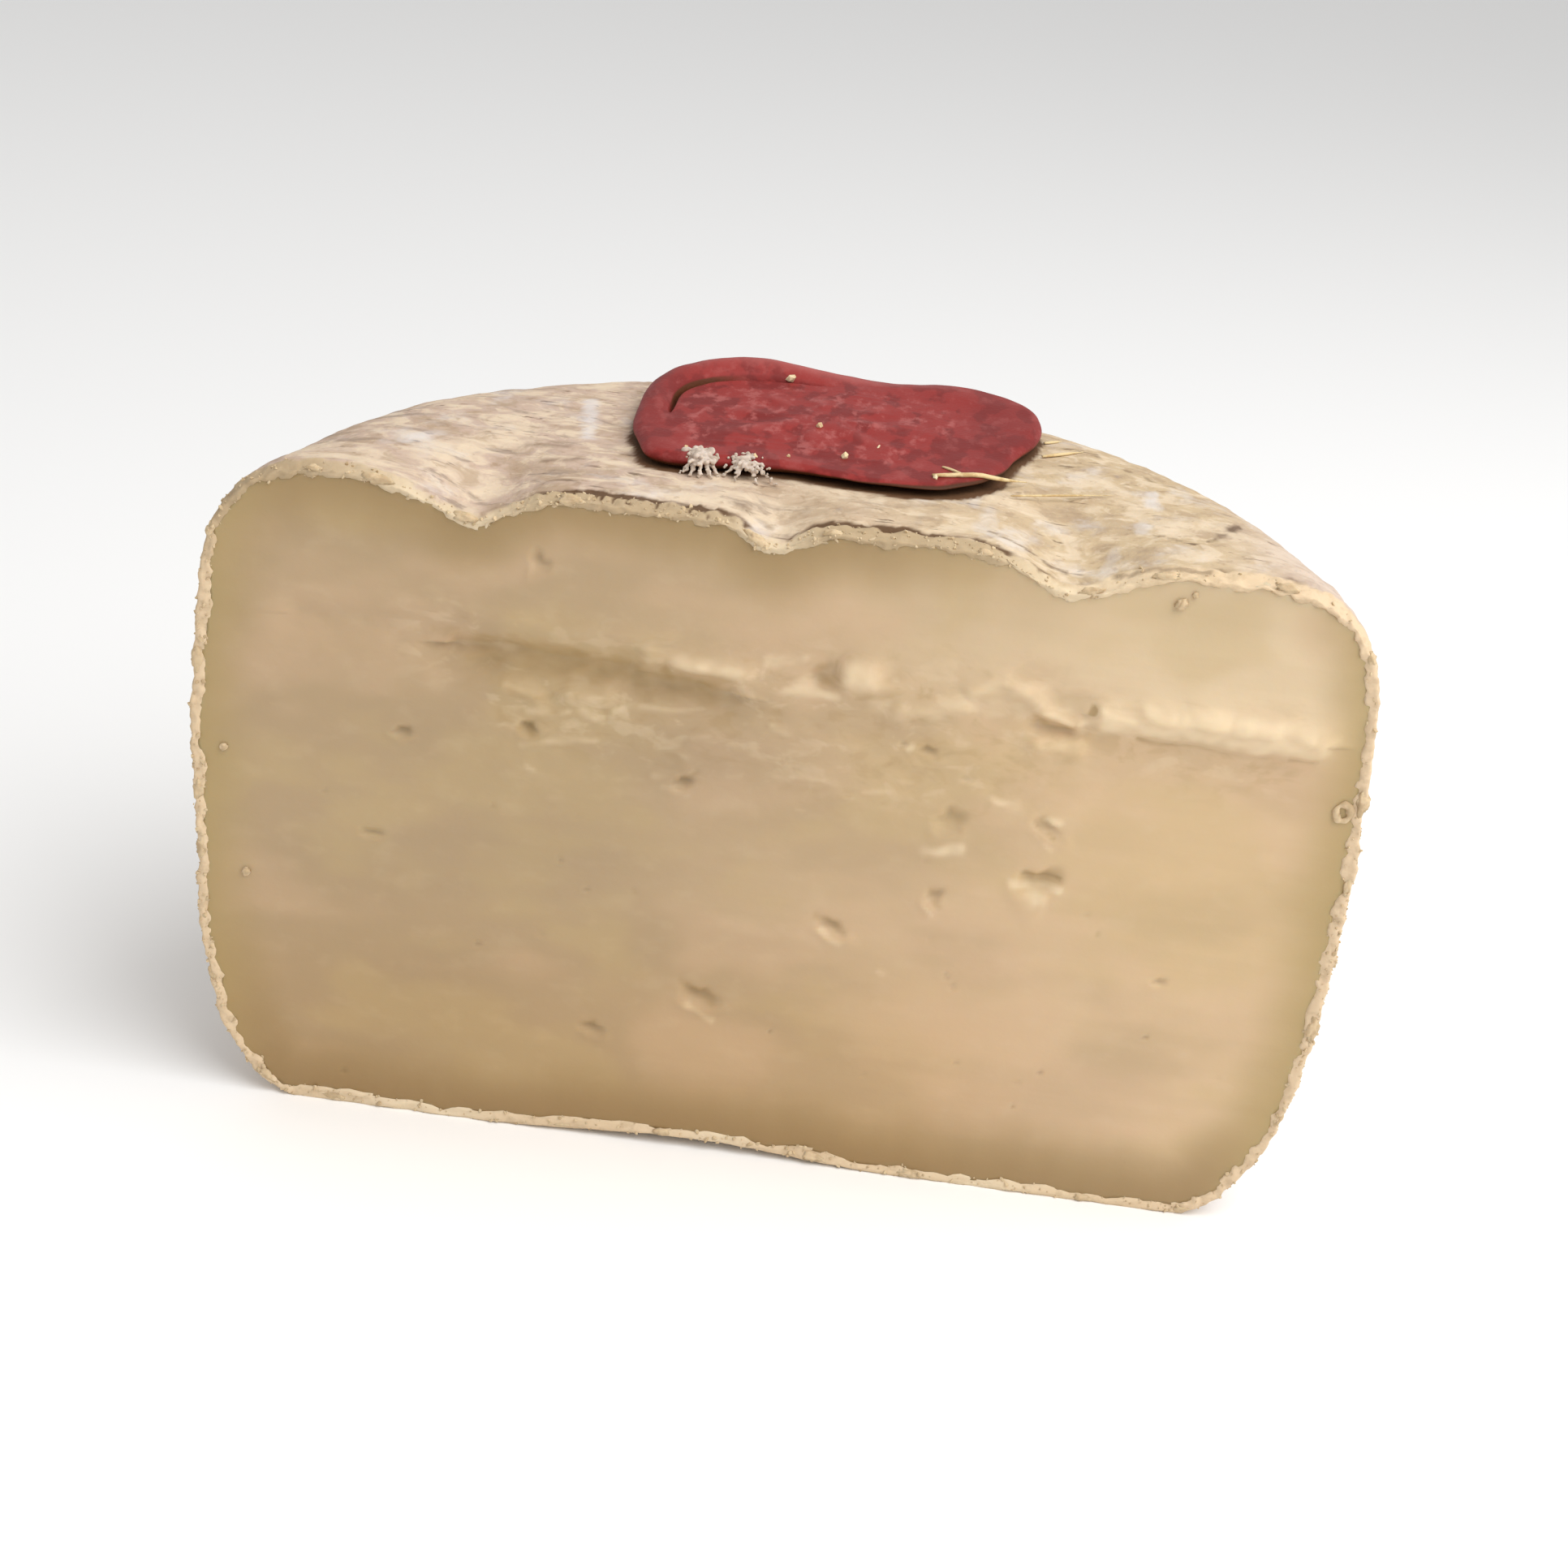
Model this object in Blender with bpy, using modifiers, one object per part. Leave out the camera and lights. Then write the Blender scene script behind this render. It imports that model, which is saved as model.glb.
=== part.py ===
# Half of a small wheel of sheep milk cheese, standing on its flat side, with a wax seal on top.
# Run it with: blender --background --python part.py
# The cut face looks along -Y and the round back along +Y. The origin is at the middle of the bottom.

import math
import random

import bmesh
import bpy
from mathutils import Matrix, Vector, noise

MM = 0.001

# The wheel, in metres. Its axis is the Z axis of the frame that everything is built in.
WHEEL_RADIUS = 0.0803
WHEEL_HEIGHT = 0.0978
SHOULDER = 0.020  # reach of the rounded top edge, inwards and down
SHOULDER_FULLNESS = 2.65  # 2 is a round edge, and more is squarer
FOOT_WIDTH = 0.016  # the lower edge draws in by this much
FOOT_HEIGHT = 0.036
SIDE_BULGE = 0.0007
CUT_AHEAD = 0.0015  # the cut misses the axis by this much, so the piece is a little over half
# The wheel isn't quite round: behind the cut it draws in, by these shares of its radius
DRAW_IN = 0.0325
DRAW_IN_LENGTH = 0.018  # how far behind the cut it is drawn in fully
FLAT_SHARE = 0.011  # and the right shoulder is a little flatter
FLAT_PLACE = 27  # degrees round from +X
FLAT_HALF_WIDTH = 12
WHEEL_STEPS = 100
TOP_RING_STEP = 0.0038
BASE_RING_STEP = 0.0100
LUMP_HEIGHT = 0.0006  # low unevenness of the rind
LUMP_SIZE = 0.024
LUMP_FADE = 0.012  # above the base
LUMP_CLEARANCE = 0.010  # round the seal

# Dents in the top that run back from the cut: place across, depth, half width, length
TOP_DENTS = (
    (-0.0425, 0.0034, 0.0065, 0.016),
    (-0.0480, 0.0012, 0.0110, 0.018),
    (-0.0022, 0.0030, 0.0048, 0.010),
    (0.0378, 0.0046, 0.0082, 0.018),
)
# The base is arched a little where it meets the cut
ARCH_PLACE = -0.006
ARCH_RISE = 0.0016
ARCH_HALF_WIDTH = 0.032
ARCH_LENGTH = 0.038
ARCH_FADE = 0.010  # height above the base where the side no longer follows the arch

# The grid that cuts the face
FACE_REACH = 0.090
FACE_BOTTOM = -0.010
FACE_TOP = 0.108
FACE_COLUMNS = 82
FACE_ROWS = 24
TEAR_HEIGHT = 0.0745  # the rows crowd round this height
ROWS_BELOW_TEAR = 0.62
TEAR_CROWDING = 0.80
CUTTER_DEPTH = 0.130
FACE_WAVES = 0.00015
FACE_WAVE_SIZE = (30, 14)  # across and up, in millimetres

# Folds of the tear across the face, in millimetres across and up as seen from the front:
# from, to, half width, height (a hollow is negative), lean (above 0 the upper side is steeper)
TEAR_FOLDS = (
    ((-66, 76), (-46, 75.2), 3.0, -0.8, 0.2),
    ((-44, 74.2), (-20, 73.6), 3.6, -2.0, 0.5),
    ((-20, 73.2), (-7, 71.8), 2.7, -1.6, 0.4),
    ((-42, 79.0), (-16, 78.8), 1.8, 0.5, 0.0),
    ((-17.5, 76.6), (-4.5, 75.2), 1.6, 1.2, -0.2),
    ((-28, 69.6), (-23.6, 69.8), 2.1, 0.9, 0.0),
    ((-37.4, 69.2), (-33, 68.2), 1.4, 0.7, 0.0),
    ((5.0, 76.0), (7.0, 77.8), 1.5, -1.5, 0.0),
    ((10.2, 76.8), (12.2, 77.2), 2.6, 1.5, 0.0),
    ((17, 72.4), (25, 75.4), 1.8, 0.7, 0.0),
    ((26.4, 77.2), (30.6, 79.0), 1.6, 0.9, 0.0),
    ((30.6, 79.0), (34.4, 77.6), 1.6, 1.0, 0.0),
    ((34.4, 77.6), (37, 74.8), 1.5, 1.0, 0.0),
    ((37, 74.8), (40.2, 74.2), 1.4, 0.9, 0.0),
    ((36, 73.4), (39.4, 73.0), 1.4, -1.1, 0.0),
    ((36.4, 70.6), (41, 70.8), 1.7, 1.0, 0.0),
    ((44.4, 76.2), (57, 76.9), 2.2, 1.5, -0.4),
    ((57, 76.9), (73, 76.0), 2.5, 1.8, -0.5),
)
# Eyes in the paste, in millimetres: across, up, width, height, depth, turn in degrees,
# and the points of a star, or 0 for an oval
EYES = (
    (38.6, 49.4, 5.8, 5.2, 2.0, 30, 3),
    (25.6, 57.4, 4.2, 4.4, 1.5, 20, 0),
    (39.2, 58.2, 4.4, 2.4, 1.3, -35, 0),
    (-6.6, 25.0, 5.8, 3.3, 1.7, -28, 0),
    (11.0, 38.8, 5.4, 2.5, 1.4, -30, 0),
    (24.7, 45.6, 3.6, 2.1, 1.2, 45, 0),
    (-11.8, 58.0, 3.0, 2.2, 1.4, 25, 0),
    (-33.4, 87.4, 3.2, 3.0, 1.2, 0, 3),
    (-33.6, 63.2, 3.0, 2.2, 1.5, -20, 0),
    (-51.2, 60.4, 3.4, 1.8, 1.3, 0, 0),
    (-21.6, 17.6, 4.2, 2.1, 1.3, -10, 0),
    (-55.0, 44.4, 3.0, 1.6, 1.1, 0, 0),
    (57.6, 37.0, 2.0, 1.6, 1.1, 0, 0),
    (21.6, 67.4, 2.4, 2.1, 1.3, 0, 0),
)
STAR_DEPTH = 0.22

# Crumbs of rind that stand out all round the cut edge
CRUMB_COUNT = 30
CRUMB_SEED = 7
CRUMB_SIZES = (0.0017, 0.0034)
CRUMB_STRETCH = (1.5, 0.65, 0.85)  # along the edge, out of the cut, across the edge
CRUMB_INSET = 0.0005
CRUMB_ROUGHNESS = 0.35
CRUMB_GRAIN = 0.0011
CRUMB_LOWEST = 0.0002  # the base alone meets what the cheese stands on
OUTLINE_POINTS = 24  # on each straight stretch of the wheel's profile

# The wax seal
SEAL_PLACE = (0.0028, 0.0403)  # its middle, from the wheel's axis
SEAL_HALF_WIDTH = 0.0290
SEAL_HALF_DEPTH = 0.0240
SEAL_SQUARENESS = 2.75
SEAL_SKEW = 0.045  # the front left and back right bulge
# Where the wax ran out further, or less far, from the +X side, in degrees: place, half width,
# share of the reach
SEAL_RUNS = (
    (221, 20, 0.07),
    (227, 9, 0.12),
    (256, 13, -0.07),
    (300, 20, 0.095),
    (346, 18, -0.075),
    (40, 18, 0.05),
    (168, 18, 0.035),
)
SEAL_THICKNESS = 0.0029
THINNING = 0.55  # the wax is this much thinner at its front edge
THIN_PLACE = 290  # degrees
THIN_HALF_WIDTH = 75
THIN_REACH = 0.9
# Shares of the seal's reach, and of its thickness for the levels
DISC_REACH = 0.66
DISC_LEVEL = 0.86
GROOVE_INNER = 0.68
GROOVE_OUTER = 0.79
GROOVE_SLOPE = 0.06
GROOVE_LEVEL = 0.42
SEAL_DISC_OFFSET = (-0.0032, -0.0010)  # the stamped disc sits off the middle
SEAL_GAP = 0.0003
SEAL_STEPS = 68
RIM_RISE = 0.0003
SWELL_START = 0.66  # the rim rises from this share of the reach
SWELL_REACH = 0.22
# Where the rim swells, from the +X side, in degrees: place, half width, rise
RIM_SWELLS = ((131, 42, 0.0019), (48, 24, 0.0009))
GROOVE_PLACE = 140
GROOVE_HALF_WIDTH = 60
PETALS = 8
PETAL_RELIEF = 0.00035
PETAL_PLACE = 0.34  # share of the seal's reach
PETAL_HALF_LENGTH = 0.15

RIND_COLOUR = (0.53, 0.40, 0.28, 1)
PASTE_COLOUR = (0.69, 0.51, 0.32, 1)
WAX_COLOUR = (0.25, 0.036, 0.033, 1)


def clear_scene():
    for obj in list(bpy.data.objects):
        bpy.data.objects.remove(obj, do_unlink=True)


def new_collection(name):
    collection = bpy.data.collections.new(name)
    bpy.context.scene.collection.children.link(collection)
    return collection


def new_material(name, colour, roughness):
    material = bpy.data.materials.new(name)
    material.use_nodes = True
    material.diffuse_color = colour
    shader = material.node_tree.nodes["Principled BSDF"]
    shader.inputs["Base Color"].default_value = colour
    shader.inputs["Roughness"].default_value = roughness
    return material


def new_object(name, bm, material, collection, parent):
    """An object with the finished shape, facing out and all in triangles."""
    bmesh.ops.recalc_face_normals(bm, faces=bm.faces)
    bmesh.ops.triangulate(bm, faces=bm.faces)
    mesh = bpy.data.meshes.new(name)
    bm.to_mesh(mesh)
    bm.free()
    mesh.materials.append(material)
    obj = bpy.data.objects.new(name, mesh)
    collection.objects.link(obj)
    obj.parent = parent
    return obj


def turned(profile, steps):
    """A closed shape of revolution about Z, from (radius, height) points that run down from axis to axis."""
    line = bpy.data.meshes.new("profile")
    points = [(radius, 0, height) for radius, height in profile]
    line.from_pydata(points, [(i, i + 1) for i in range(len(points) - 1)], [])
    obj = bpy.data.objects.new("profile", line)
    bpy.context.scene.collection.objects.link(obj)
    screw = obj.modifiers.new("turn", "SCREW")
    screw.axis = "Z"
    screw.steps = screw.render_steps = steps
    screw.use_merge_vertices = True
    screw.merge_threshold = 0.00001
    graph = bpy.context.evaluated_depsgraph_get()
    mesh = bpy.data.meshes.new_from_object(obj.evaluated_get(graph))
    bm = bmesh.new()
    bm.from_mesh(mesh)
    bmesh.ops.remove_doubles(bm, verts=bm.verts, dist=0.00001)
    bpy.data.objects.remove(obj, do_unlink=True)
    bpy.data.meshes.remove(line)
    bpy.data.meshes.remove(mesh)
    return bm


def steps_between(start, end, step):
    count = max(1, round(abs(end - start) / step))
    return [start + (end - start) * i / count for i in range(count + 1)]


def bell(distance, width):
    return math.exp(-((distance / width) ** 2))


def smooth(value):
    value = min(1.0, max(0.0, value))
    return value * value * (3 - 2 * value)


def wheel_profile():
    """(radius, height) over the top, the shoulder, the side and the foot, and back along the base."""
    top_radius, side_top = WHEEL_RADIUS - SHOULDER, WHEEL_HEIGHT - SHOULDER
    turns = [math.pi / 2 * i / 7 for i in range(1, 8)]
    power = 2 / SHOULDER_FULLNESS
    top = [(radius, WHEEL_HEIGHT) for radius in steps_between(0, top_radius, TOP_RING_STEP)]
    shoulder = [
        (
            top_radius + SHOULDER * math.sin(turn) ** power,
            side_top + SHOULDER * max(0, math.cos(turn)) ** power,
        )
        for turn in turns
    ]
    side = [
        (WHEEL_RADIUS + SIDE_BULGE * math.sin(math.pi * i / 5), side_top + (FOOT_HEIGHT - side_top) * i / 5)
        for i in range(1, 6)
    ]
    foot = [
        (WHEEL_RADIUS - FOOT_WIDTH * (1 - math.cos(turn)), FOOT_HEIGHT * (1 - math.sin(turn)))
        for turn in turns
    ]
    base = [(radius, 0) for radius in steps_between(WHEEL_RADIUS - FOOT_WIDTH, 0, BASE_RING_STEP)[1:]]
    return top + shoulder + side + foot + base


def rind_lump(point):
    """Low unevenness, none on the base and none under the seal."""
    from_seal = math.hypot(point.x - SEAL_PLACE[0], point.y - SEAL_PLACE[1]) - SEAL_HALF_WIDTH
    bare = smooth(from_seal / LUMP_CLEARANCE) if point.z > WHEEL_HEIGHT / 2 else 1
    return LUMP_HEIGHT * noise.noise(point / LUMP_SIZE) * smooth(point.z / LUMP_FADE) * bare


def settled(point):
    """The place of a point of the plain wheel once the cheese has its dents, its arch and its lumps."""
    flat = Vector((point.x, point.y, 0))
    on_top = flat.length < WHEEL_RADIUS - SHOULDER
    outwards = Vector((0, 0, 1)) if on_top else flat.normalized()
    behind = max(0.0, point.y + CUT_AHEAD)
    dents = sum(
        depth * bell(point.x - place, width) * bell(behind, length)
        for place, depth, width, length in TOP_DENTS
    )
    turn = math.degrees(math.atan2(behind, point.x))
    drawn = DRAW_IN * smooth(behind / DRAW_IN_LENGTH) + FLAT_SHARE * bell(turn - FLAT_PLACE, FLAT_HALF_WIDTH)
    topness = smooth((point.z - WHEEL_HEIGHT + SHOULDER) / SHOULDER)
    arch_across = smooth(1 - abs(point.x - ARCH_PLACE) / ARCH_HALF_WIDTH)
    arch = ARCH_RISE * arch_across * smooth(1 - behind / ARCH_LENGTH)
    baseness = 1 - smooth(point.z / ARCH_FADE)
    up = Vector((0, 0, arch * baseness - dents * topness))
    return point - flat * drawn + outwards * rind_lump(point) + up


def wheel():
    bm = turned(wheel_profile(), WHEEL_STEPS)
    for vert in bm.verts:
        vert.co = settled(vert.co)
    return bm


def fold_height(across, up, start, end, width, height, lean):
    """Height of one fold of the tear at a place on the face, all in millimetres."""
    along = Vector(end) - Vector(start)
    away = Vector((across, up)) - Vector(start)
    part = min(1.0, max(0.0, away.dot(along) / along.length_squared))
    off = away - along * part
    side = 1 - lean if off.y > 0 else 1 + lean
    return height * bell(off.length, width * side)


def face_place(across, up):
    """A point on the cut face, from millimetres across and up. The highest fold and the deepest count."""
    heights = [fold_height(across, up, *fold) for fold in TEAR_FOLDS]
    folds = MM * (max(heights) + min(heights))
    waves = FACE_WAVES * noise.noise(Vector((across / FACE_WAVE_SIZE[0], up / FACE_WAVE_SIZE[1], 0)))
    return Vector((across * MM, -CUT_AHEAD - folds - waves, up * MM))


def row_height(part):
    """Heights from below the base to above the top, crowded round the tear."""
    above = part > ROWS_BELOW_TEAR
    end, share = (FACE_TOP, 1 - ROWS_BELOW_TEAR) if above else (FACE_BOTTOM, ROWS_BELOW_TEAR)
    away = abs(part - ROWS_BELOW_TEAR) / share
    spread = away * (1 - TEAR_CROWDING) + away**3 * TEAR_CROWDING
    return TEAR_HEIGHT + (end - TEAR_HEIGHT) * spread


def cut_block():
    """A block ahead of the cut, whose back carries the relief of the face."""
    bm = bmesh.new()
    bmesh.ops.create_grid(bm, x_segments=FACE_COLUMNS, y_segments=FACE_ROWS, size=1)
    for vert in bm.verts:
        vert.co = face_place(vert.co.x * FACE_REACH / MM, row_height((vert.co.y + 1) / 2) / MM)
    front = bmesh.ops.extrude_face_region(bm, geom=bm.faces[:])
    for item in front["geom"]:
        if isinstance(item, bmesh.types.BMVert):
            item.co.y = -CUTTER_DEPTH
    return bm


def eye_hollows():
    bm = bmesh.new()
    for across, up, width, height, depth, turn, points in EYES:
        place = Matrix.Translation(face_place(across, up)) @ Matrix.Rotation(math.radians(turn), 4, "Y")
        for vert in bmesh.ops.create_icosphere(bm, subdivisions=2, radius=MM)["verts"]:
            x, y, z = vert.co
            star = 1 + STAR_DEPTH * math.cos(points * math.atan2(z, x)) if points else 1
            vert.co = place @ Vector((x * star * width / 2, y * depth, z * star * height / 2))
    return bm


def cut_outline():
    """Points round the cut edge, from the middle of the top and clockwise as seen from the front."""
    profile = wheel_profile()
    right = []
    for (radius, height), (next_radius, next_height) in zip(profile, profile[1:]):
        for i in range(OUTLINE_POINTS):
            part = i / OUTLINE_POINTS
            from_axis = radius + (next_radius - radius) * part
            across = math.sqrt(max(0.0, from_axis**2 - CUT_AHEAD**2))
            right.append(Vector((across, -CUT_AHEAD, height + (next_height - height) * part)))
    left = [Vector((-point.x, point.y, point.z)) for point in reversed(right)]
    return [settled(point) for point in right + left]


def edge_crumbs():
    """Crumbs at even steps along the cut edge, each shaken out of its place, its size and its shape."""
    outline = cut_outline()
    lengths = [(b - a).length for a, b in zip(outline, outline[1:])]
    draw = random.Random(CRUMB_SEED)
    bm = bmesh.new()
    for i in range(CRUMB_COUNT):
        reach = sum(lengths) * (i + draw.uniform(0.1, 0.9)) / CRUMB_COUNT
        size = draw.uniform(*CRUMB_SIZES)
        at = 0
        while reach > lengths[at]:
            reach -= lengths[at]
            at += 1
        along = (outline[at + 1] - outline[at]).normalized()
        inwards = along.cross(Vector((0, 1, 0)))
        place = outline[at] + along * reach - inwards * CRUMB_INSET
        for vert in bmesh.ops.create_icosphere(bm, subdivisions=1, radius=size / 2)["verts"]:
            rough = 1 + CRUMB_ROUGHNESS * noise.noise((vert.co + place) / CRUMB_GRAIN)
            x, y, z = (vert.co[j] * CRUMB_STRETCH[j] * rough for j in range(3))
            vert.co = place + along * x + Vector((0, y, 0)) + inwards * z
            vert.co.z = max(vert.co.z, CRUMB_LOWEST)
    return bm


def shape_with(obj, cutter, operation):
    """A Boolean that takes the other shape's material along, and hides that shape."""
    cutter.hide_render = True
    cutter.display_type = "WIRE"
    modifier = obj.modifiers.new(cutter.name, "BOOLEAN")
    modifier.operation = operation
    modifier.solver = "EXACT"
    modifier.material_mode = "TRANSFER"
    modifier.object = cutter


def shoulder_drop(radius):
    """How far the plain wheel's top has fallen at this radius."""
    part = min(1.0, max(0.0, (radius - WHEEL_RADIUS + SHOULDER) / SHOULDER))
    return SHOULDER * (1 - (1 - part**SHOULDER_FULLNESS) ** (1 / SHOULDER_FULLNESS))


def seal_profile():
    """(radius, height) over the stamped disc, the groove, the rim and the underside, 1 being full size."""
    disc = [(radius, DISC_LEVEL) for radius in steps_between(0, DISC_REACH, DISC_REACH / 10)]
    groove = [(0.72, 0.85), (0.745, GROOVE_LEVEL), (0.77, 0.82)]
    rim = [(0.84, 0.94), (0.89, 1.0), (0.94, 0.93), (0.985, 0.70), (1.0, 0.44), (0.985, 0.15), (0.955, 0.0)]
    under = [(0.64, 0.0), (0.32, 0.0), (0.0, 0.0)]
    return disc + groove + rim + under


def turn_between(angle, degrees):
    return math.degrees(math.remainder(angle - math.radians(degrees), math.tau))


def seal_outline(angle):
    """Distance from the seal's middle to its edge, a rounded oval that bulges as poured wax does."""
    across = abs(math.cos(angle)) / SEAL_HALF_WIDTH
    along = abs(math.sin(angle)) / SEAL_HALF_DEPTH
    oval = (across**SEAL_SQUARENESS + along**SEAL_SQUARENESS) ** (-1 / SEAL_SQUARENESS)
    runs = sum(share * bell(turn_between(angle, place), width) for place, width, share in SEAL_RUNS)
    return oval * (1 + SEAL_SKEW * math.sin(2 * angle) + 0.01 * math.sin(3 * angle + 0.6) + runs)


def seal():
    bm = turned(seal_profile(), SEAL_STEPS)
    for vert in bm.verts:
        angle = math.atan2(vert.co.y, vert.co.x)
        part = math.hypot(vert.co.x, vert.co.y)
        height = vert.co.z
        grooved = bell(turn_between(angle, GROOVE_PLACE), GROOVE_HALF_WIDTH)
        past_disc = smooth((part - GROOVE_INNER) / GROOVE_SLOPE)
        past_groove = smooth((part - GROOVE_OUTER) / GROOVE_SLOPE)
        if height > 0:
            height += (DISC_LEVEL - height) * past_disc * (1 - past_groove) * (1 - grooved)
        swell = RIM_RISE + sum(
            rise * bell(turn_between(angle, place), width) for place, width, rise in RIM_SWELLS
        )
        petals = PETAL_RELIEF * math.cos(PETALS * angle) * bell(part - PETAL_PLACE, PETAL_HALF_LENGTH)
        upper = smooth(vert.co.z / 0.4)
        raised = (swell * smooth((part - SWELL_START) / SWELL_REACH) + petals) * upper
        centred = 1 - smooth((part - DISC_REACH) / (1 - DISC_REACH))
        reach = part * seal_outline(angle)
        x = SEAL_PLACE[0] + reach * math.cos(angle) + SEAL_DISC_OFFSET[0] * centred * upper
        y = SEAL_PLACE[1] + reach * math.sin(angle) + SEAL_DISC_OFFSET[1] * centred * upper
        under = SEAL_GAP - shoulder_drop(math.hypot(x, y) / (1 - DRAW_IN)) * (1 - upper)
        frontness = bell(turn_between(angle, THIN_PLACE), THIN_HALF_WIDTH) * smooth(part / THIN_REACH)
        thickness = SEAL_THICKNESS * (1 - THINNING * frontness)
        vert.co = (x, y, WHEEL_HEIGHT + under + thickness * height + raised)
    return bm


def middle_and_bottom(obj):
    graph = bpy.context.evaluated_depsgraph_get()
    corners = [Vector(corner) for corner in obj.evaluated_get(graph).bound_box]
    low = Vector([min(corner[i] for corner in corners) for i in range(3)])
    high = Vector([max(corner[i] for corner in corners) for i in range(3)])
    return Vector(((low.x + high.x) / 2, (low.y + high.y) / 2, low.z))


def main():
    clear_scene()
    parts = new_collection("sheep_milk_cheese_half")
    cutters = new_collection("cutters")
    rind = new_material("rind", RIND_COLOUR, 0.85)
    paste = new_material("paste", PASTE_COLOUR, 0.55)
    wax = new_material("red_wax", WAX_COLOUR, 0.35)
    frame = bpy.data.objects.new("frame", None)
    parts.objects.link(frame)

    cheese = new_object("cheese_half", wheel(), rind, parts, frame)
    shape_with(cheese, new_object("cut_block", cut_block(), paste, cutters, frame), "DIFFERENCE")
    shape_with(cheese, new_object("eye_hollows", eye_hollows(), paste, cutters, frame), "DIFFERENCE")
    shape_with(cheese, new_object("edge_crumbs", edge_crumbs(), rind, cutters, frame), "UNION")

    wax_seal = new_object("wax_seal", seal(), wax, parts, frame)
    wax_seal.data.shade_smooth()
    frame.location = -middle_and_bottom(cheese)


main()
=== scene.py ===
# The looks of half a small wheel of sheep milk cheese, with its torn paste, its rind and its wax seal.
# Lengths are in millimetres from the wheel's axis until a piece is made: x across the cut as seen
# from the front, y behind the cut, z up.
import math
import random

import bmesh
import bpy
import numpy as np
from mathutils import Matrix, Vector, bvhtree, kdtree, noise


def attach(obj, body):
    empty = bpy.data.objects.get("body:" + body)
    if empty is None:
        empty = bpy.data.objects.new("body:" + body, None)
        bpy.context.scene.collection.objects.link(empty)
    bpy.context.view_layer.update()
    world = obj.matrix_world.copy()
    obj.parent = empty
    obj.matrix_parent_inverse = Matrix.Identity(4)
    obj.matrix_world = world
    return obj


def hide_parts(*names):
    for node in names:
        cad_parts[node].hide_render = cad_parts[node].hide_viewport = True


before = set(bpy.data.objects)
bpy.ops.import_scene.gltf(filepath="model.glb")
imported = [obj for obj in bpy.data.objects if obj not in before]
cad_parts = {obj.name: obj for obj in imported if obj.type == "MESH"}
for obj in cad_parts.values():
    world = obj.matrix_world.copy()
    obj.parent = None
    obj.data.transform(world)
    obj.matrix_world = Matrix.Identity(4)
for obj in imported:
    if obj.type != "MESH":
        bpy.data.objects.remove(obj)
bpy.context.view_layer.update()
print("frame loaded")

millimetre = 0.001
wheelAxis = Vector((-0.03, -37.58, 0.0))  # where the wheel's axis stands in the frame
mergeReach = 0.004  # points closer than this are one


def smooth(value):
    value = np.clip(value, 0.0, 1.0)
    return value * value * (3 - 2 * value)


def bell(distance, width):
    return np.exp(-((distance / width) ** 2))


def noiseAt(points, size, shift=0.0, octaves=1):
    # size is one number or one for each direction, as large as the lumps are
    scaled = (points / np.asarray(size, float) + shift).tolist()
    if octaves == 1:
        return np.array([noise.noise(place) for place in scaled])
    return np.array([noise.fractal(place, 1.0, 2.0, octaves) for place in scaled])


def smoothLine(points, rounds):
    # cuts the corners of an open line again and again, and keeps its ends
    line = np.asarray(points, float)
    for _ in range(rounds):
        near = line[:-1] * 0.75 + line[1:] * 0.25
        far = line[:-1] * 0.25 + line[1:] * 0.75
        inner = np.stack([near, far], axis=1).reshape(-1, line.shape[1])
        line = np.vstack([line[:1], inner[1:-1], line[-1:]])
    return line


def nearLine(x, y, start, end):
    # how far places are from a straight line between two points
    along = np.subtract(end, start)
    awayX, awayY = x - start[0], y - start[1]
    part = np.clip((awayX * along[0] + awayY * along[1]) / (along @ along), 0.0, 1.0)
    return awayX - part * along[0], awayY - part * along[1]


def gridFaces(rows, columns, wrap=False):
    # four-sided faces between the rows of points, joined round the end where wrap is set
    last = columns if wrap else columns - 1
    row, column = np.meshgrid(np.arange(rows - 1), np.arange(last), indexing="ij")
    following = (column + 1) % columns
    corners = [row * columns + column, row * columns + following]
    corners += [(row + 1) * columns + following, (row + 1) * columns + column]
    return np.stack(corners, axis=-1).reshape(-1, 4)


def inFrame(points):
    # from millimetres off the wheel's axis to metres in the frame
    return ((np.asarray(points, float) + np.array(wheelAxis)) * millimetre).tolist()


def storeValues(mesh, values):
    # a number at each point, under each label
    for label, numbers in values.items():
        attribute = mesh.attributes.new(label, "FLOAT", "POINT")
        attribute.data.foreach_set("value", np.asarray(numbers, np.float32))


def addObject(name, data):
    made = bpy.data.objects.new(name, data)
    bpy.context.scene.collection.objects.link(made)
    return made


def makePiece(name, points, faces, material, values=None):
    # one closed mesh in the frame, its faces pointing out, with a number at each point for each value
    mesh = bpy.data.meshes.new(name)
    mesh.from_pydata(inFrame(points), [], [list(face) for face in faces])
    storeValues(mesh, values or {})
    bm = bmesh.new()
    bm.from_mesh(mesh)
    bmesh.ops.remove_doubles(bm, verts=bm.verts, dist=mergeReach * millimetre)
    bmesh.ops.dissolve_degenerate(bm, edges=bm.edges, dist=mergeReach * millimetre * 0.5)
    bmesh.ops.recalc_face_normals(bm, faces=bm.faces)
    bm.to_mesh(mesh)
    bm.free()
    mesh.materials.append(material)
    mesh.shade_smooth()
    return addObject(name, mesh)


def dress(piece, node=None):
    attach(piece, "root")
    if node:
        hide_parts(node)
    triangles = sum(len(face.vertices) - 2 for face in piece.data.polygons)
    print(piece.name, triangles, "triangles")


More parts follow.
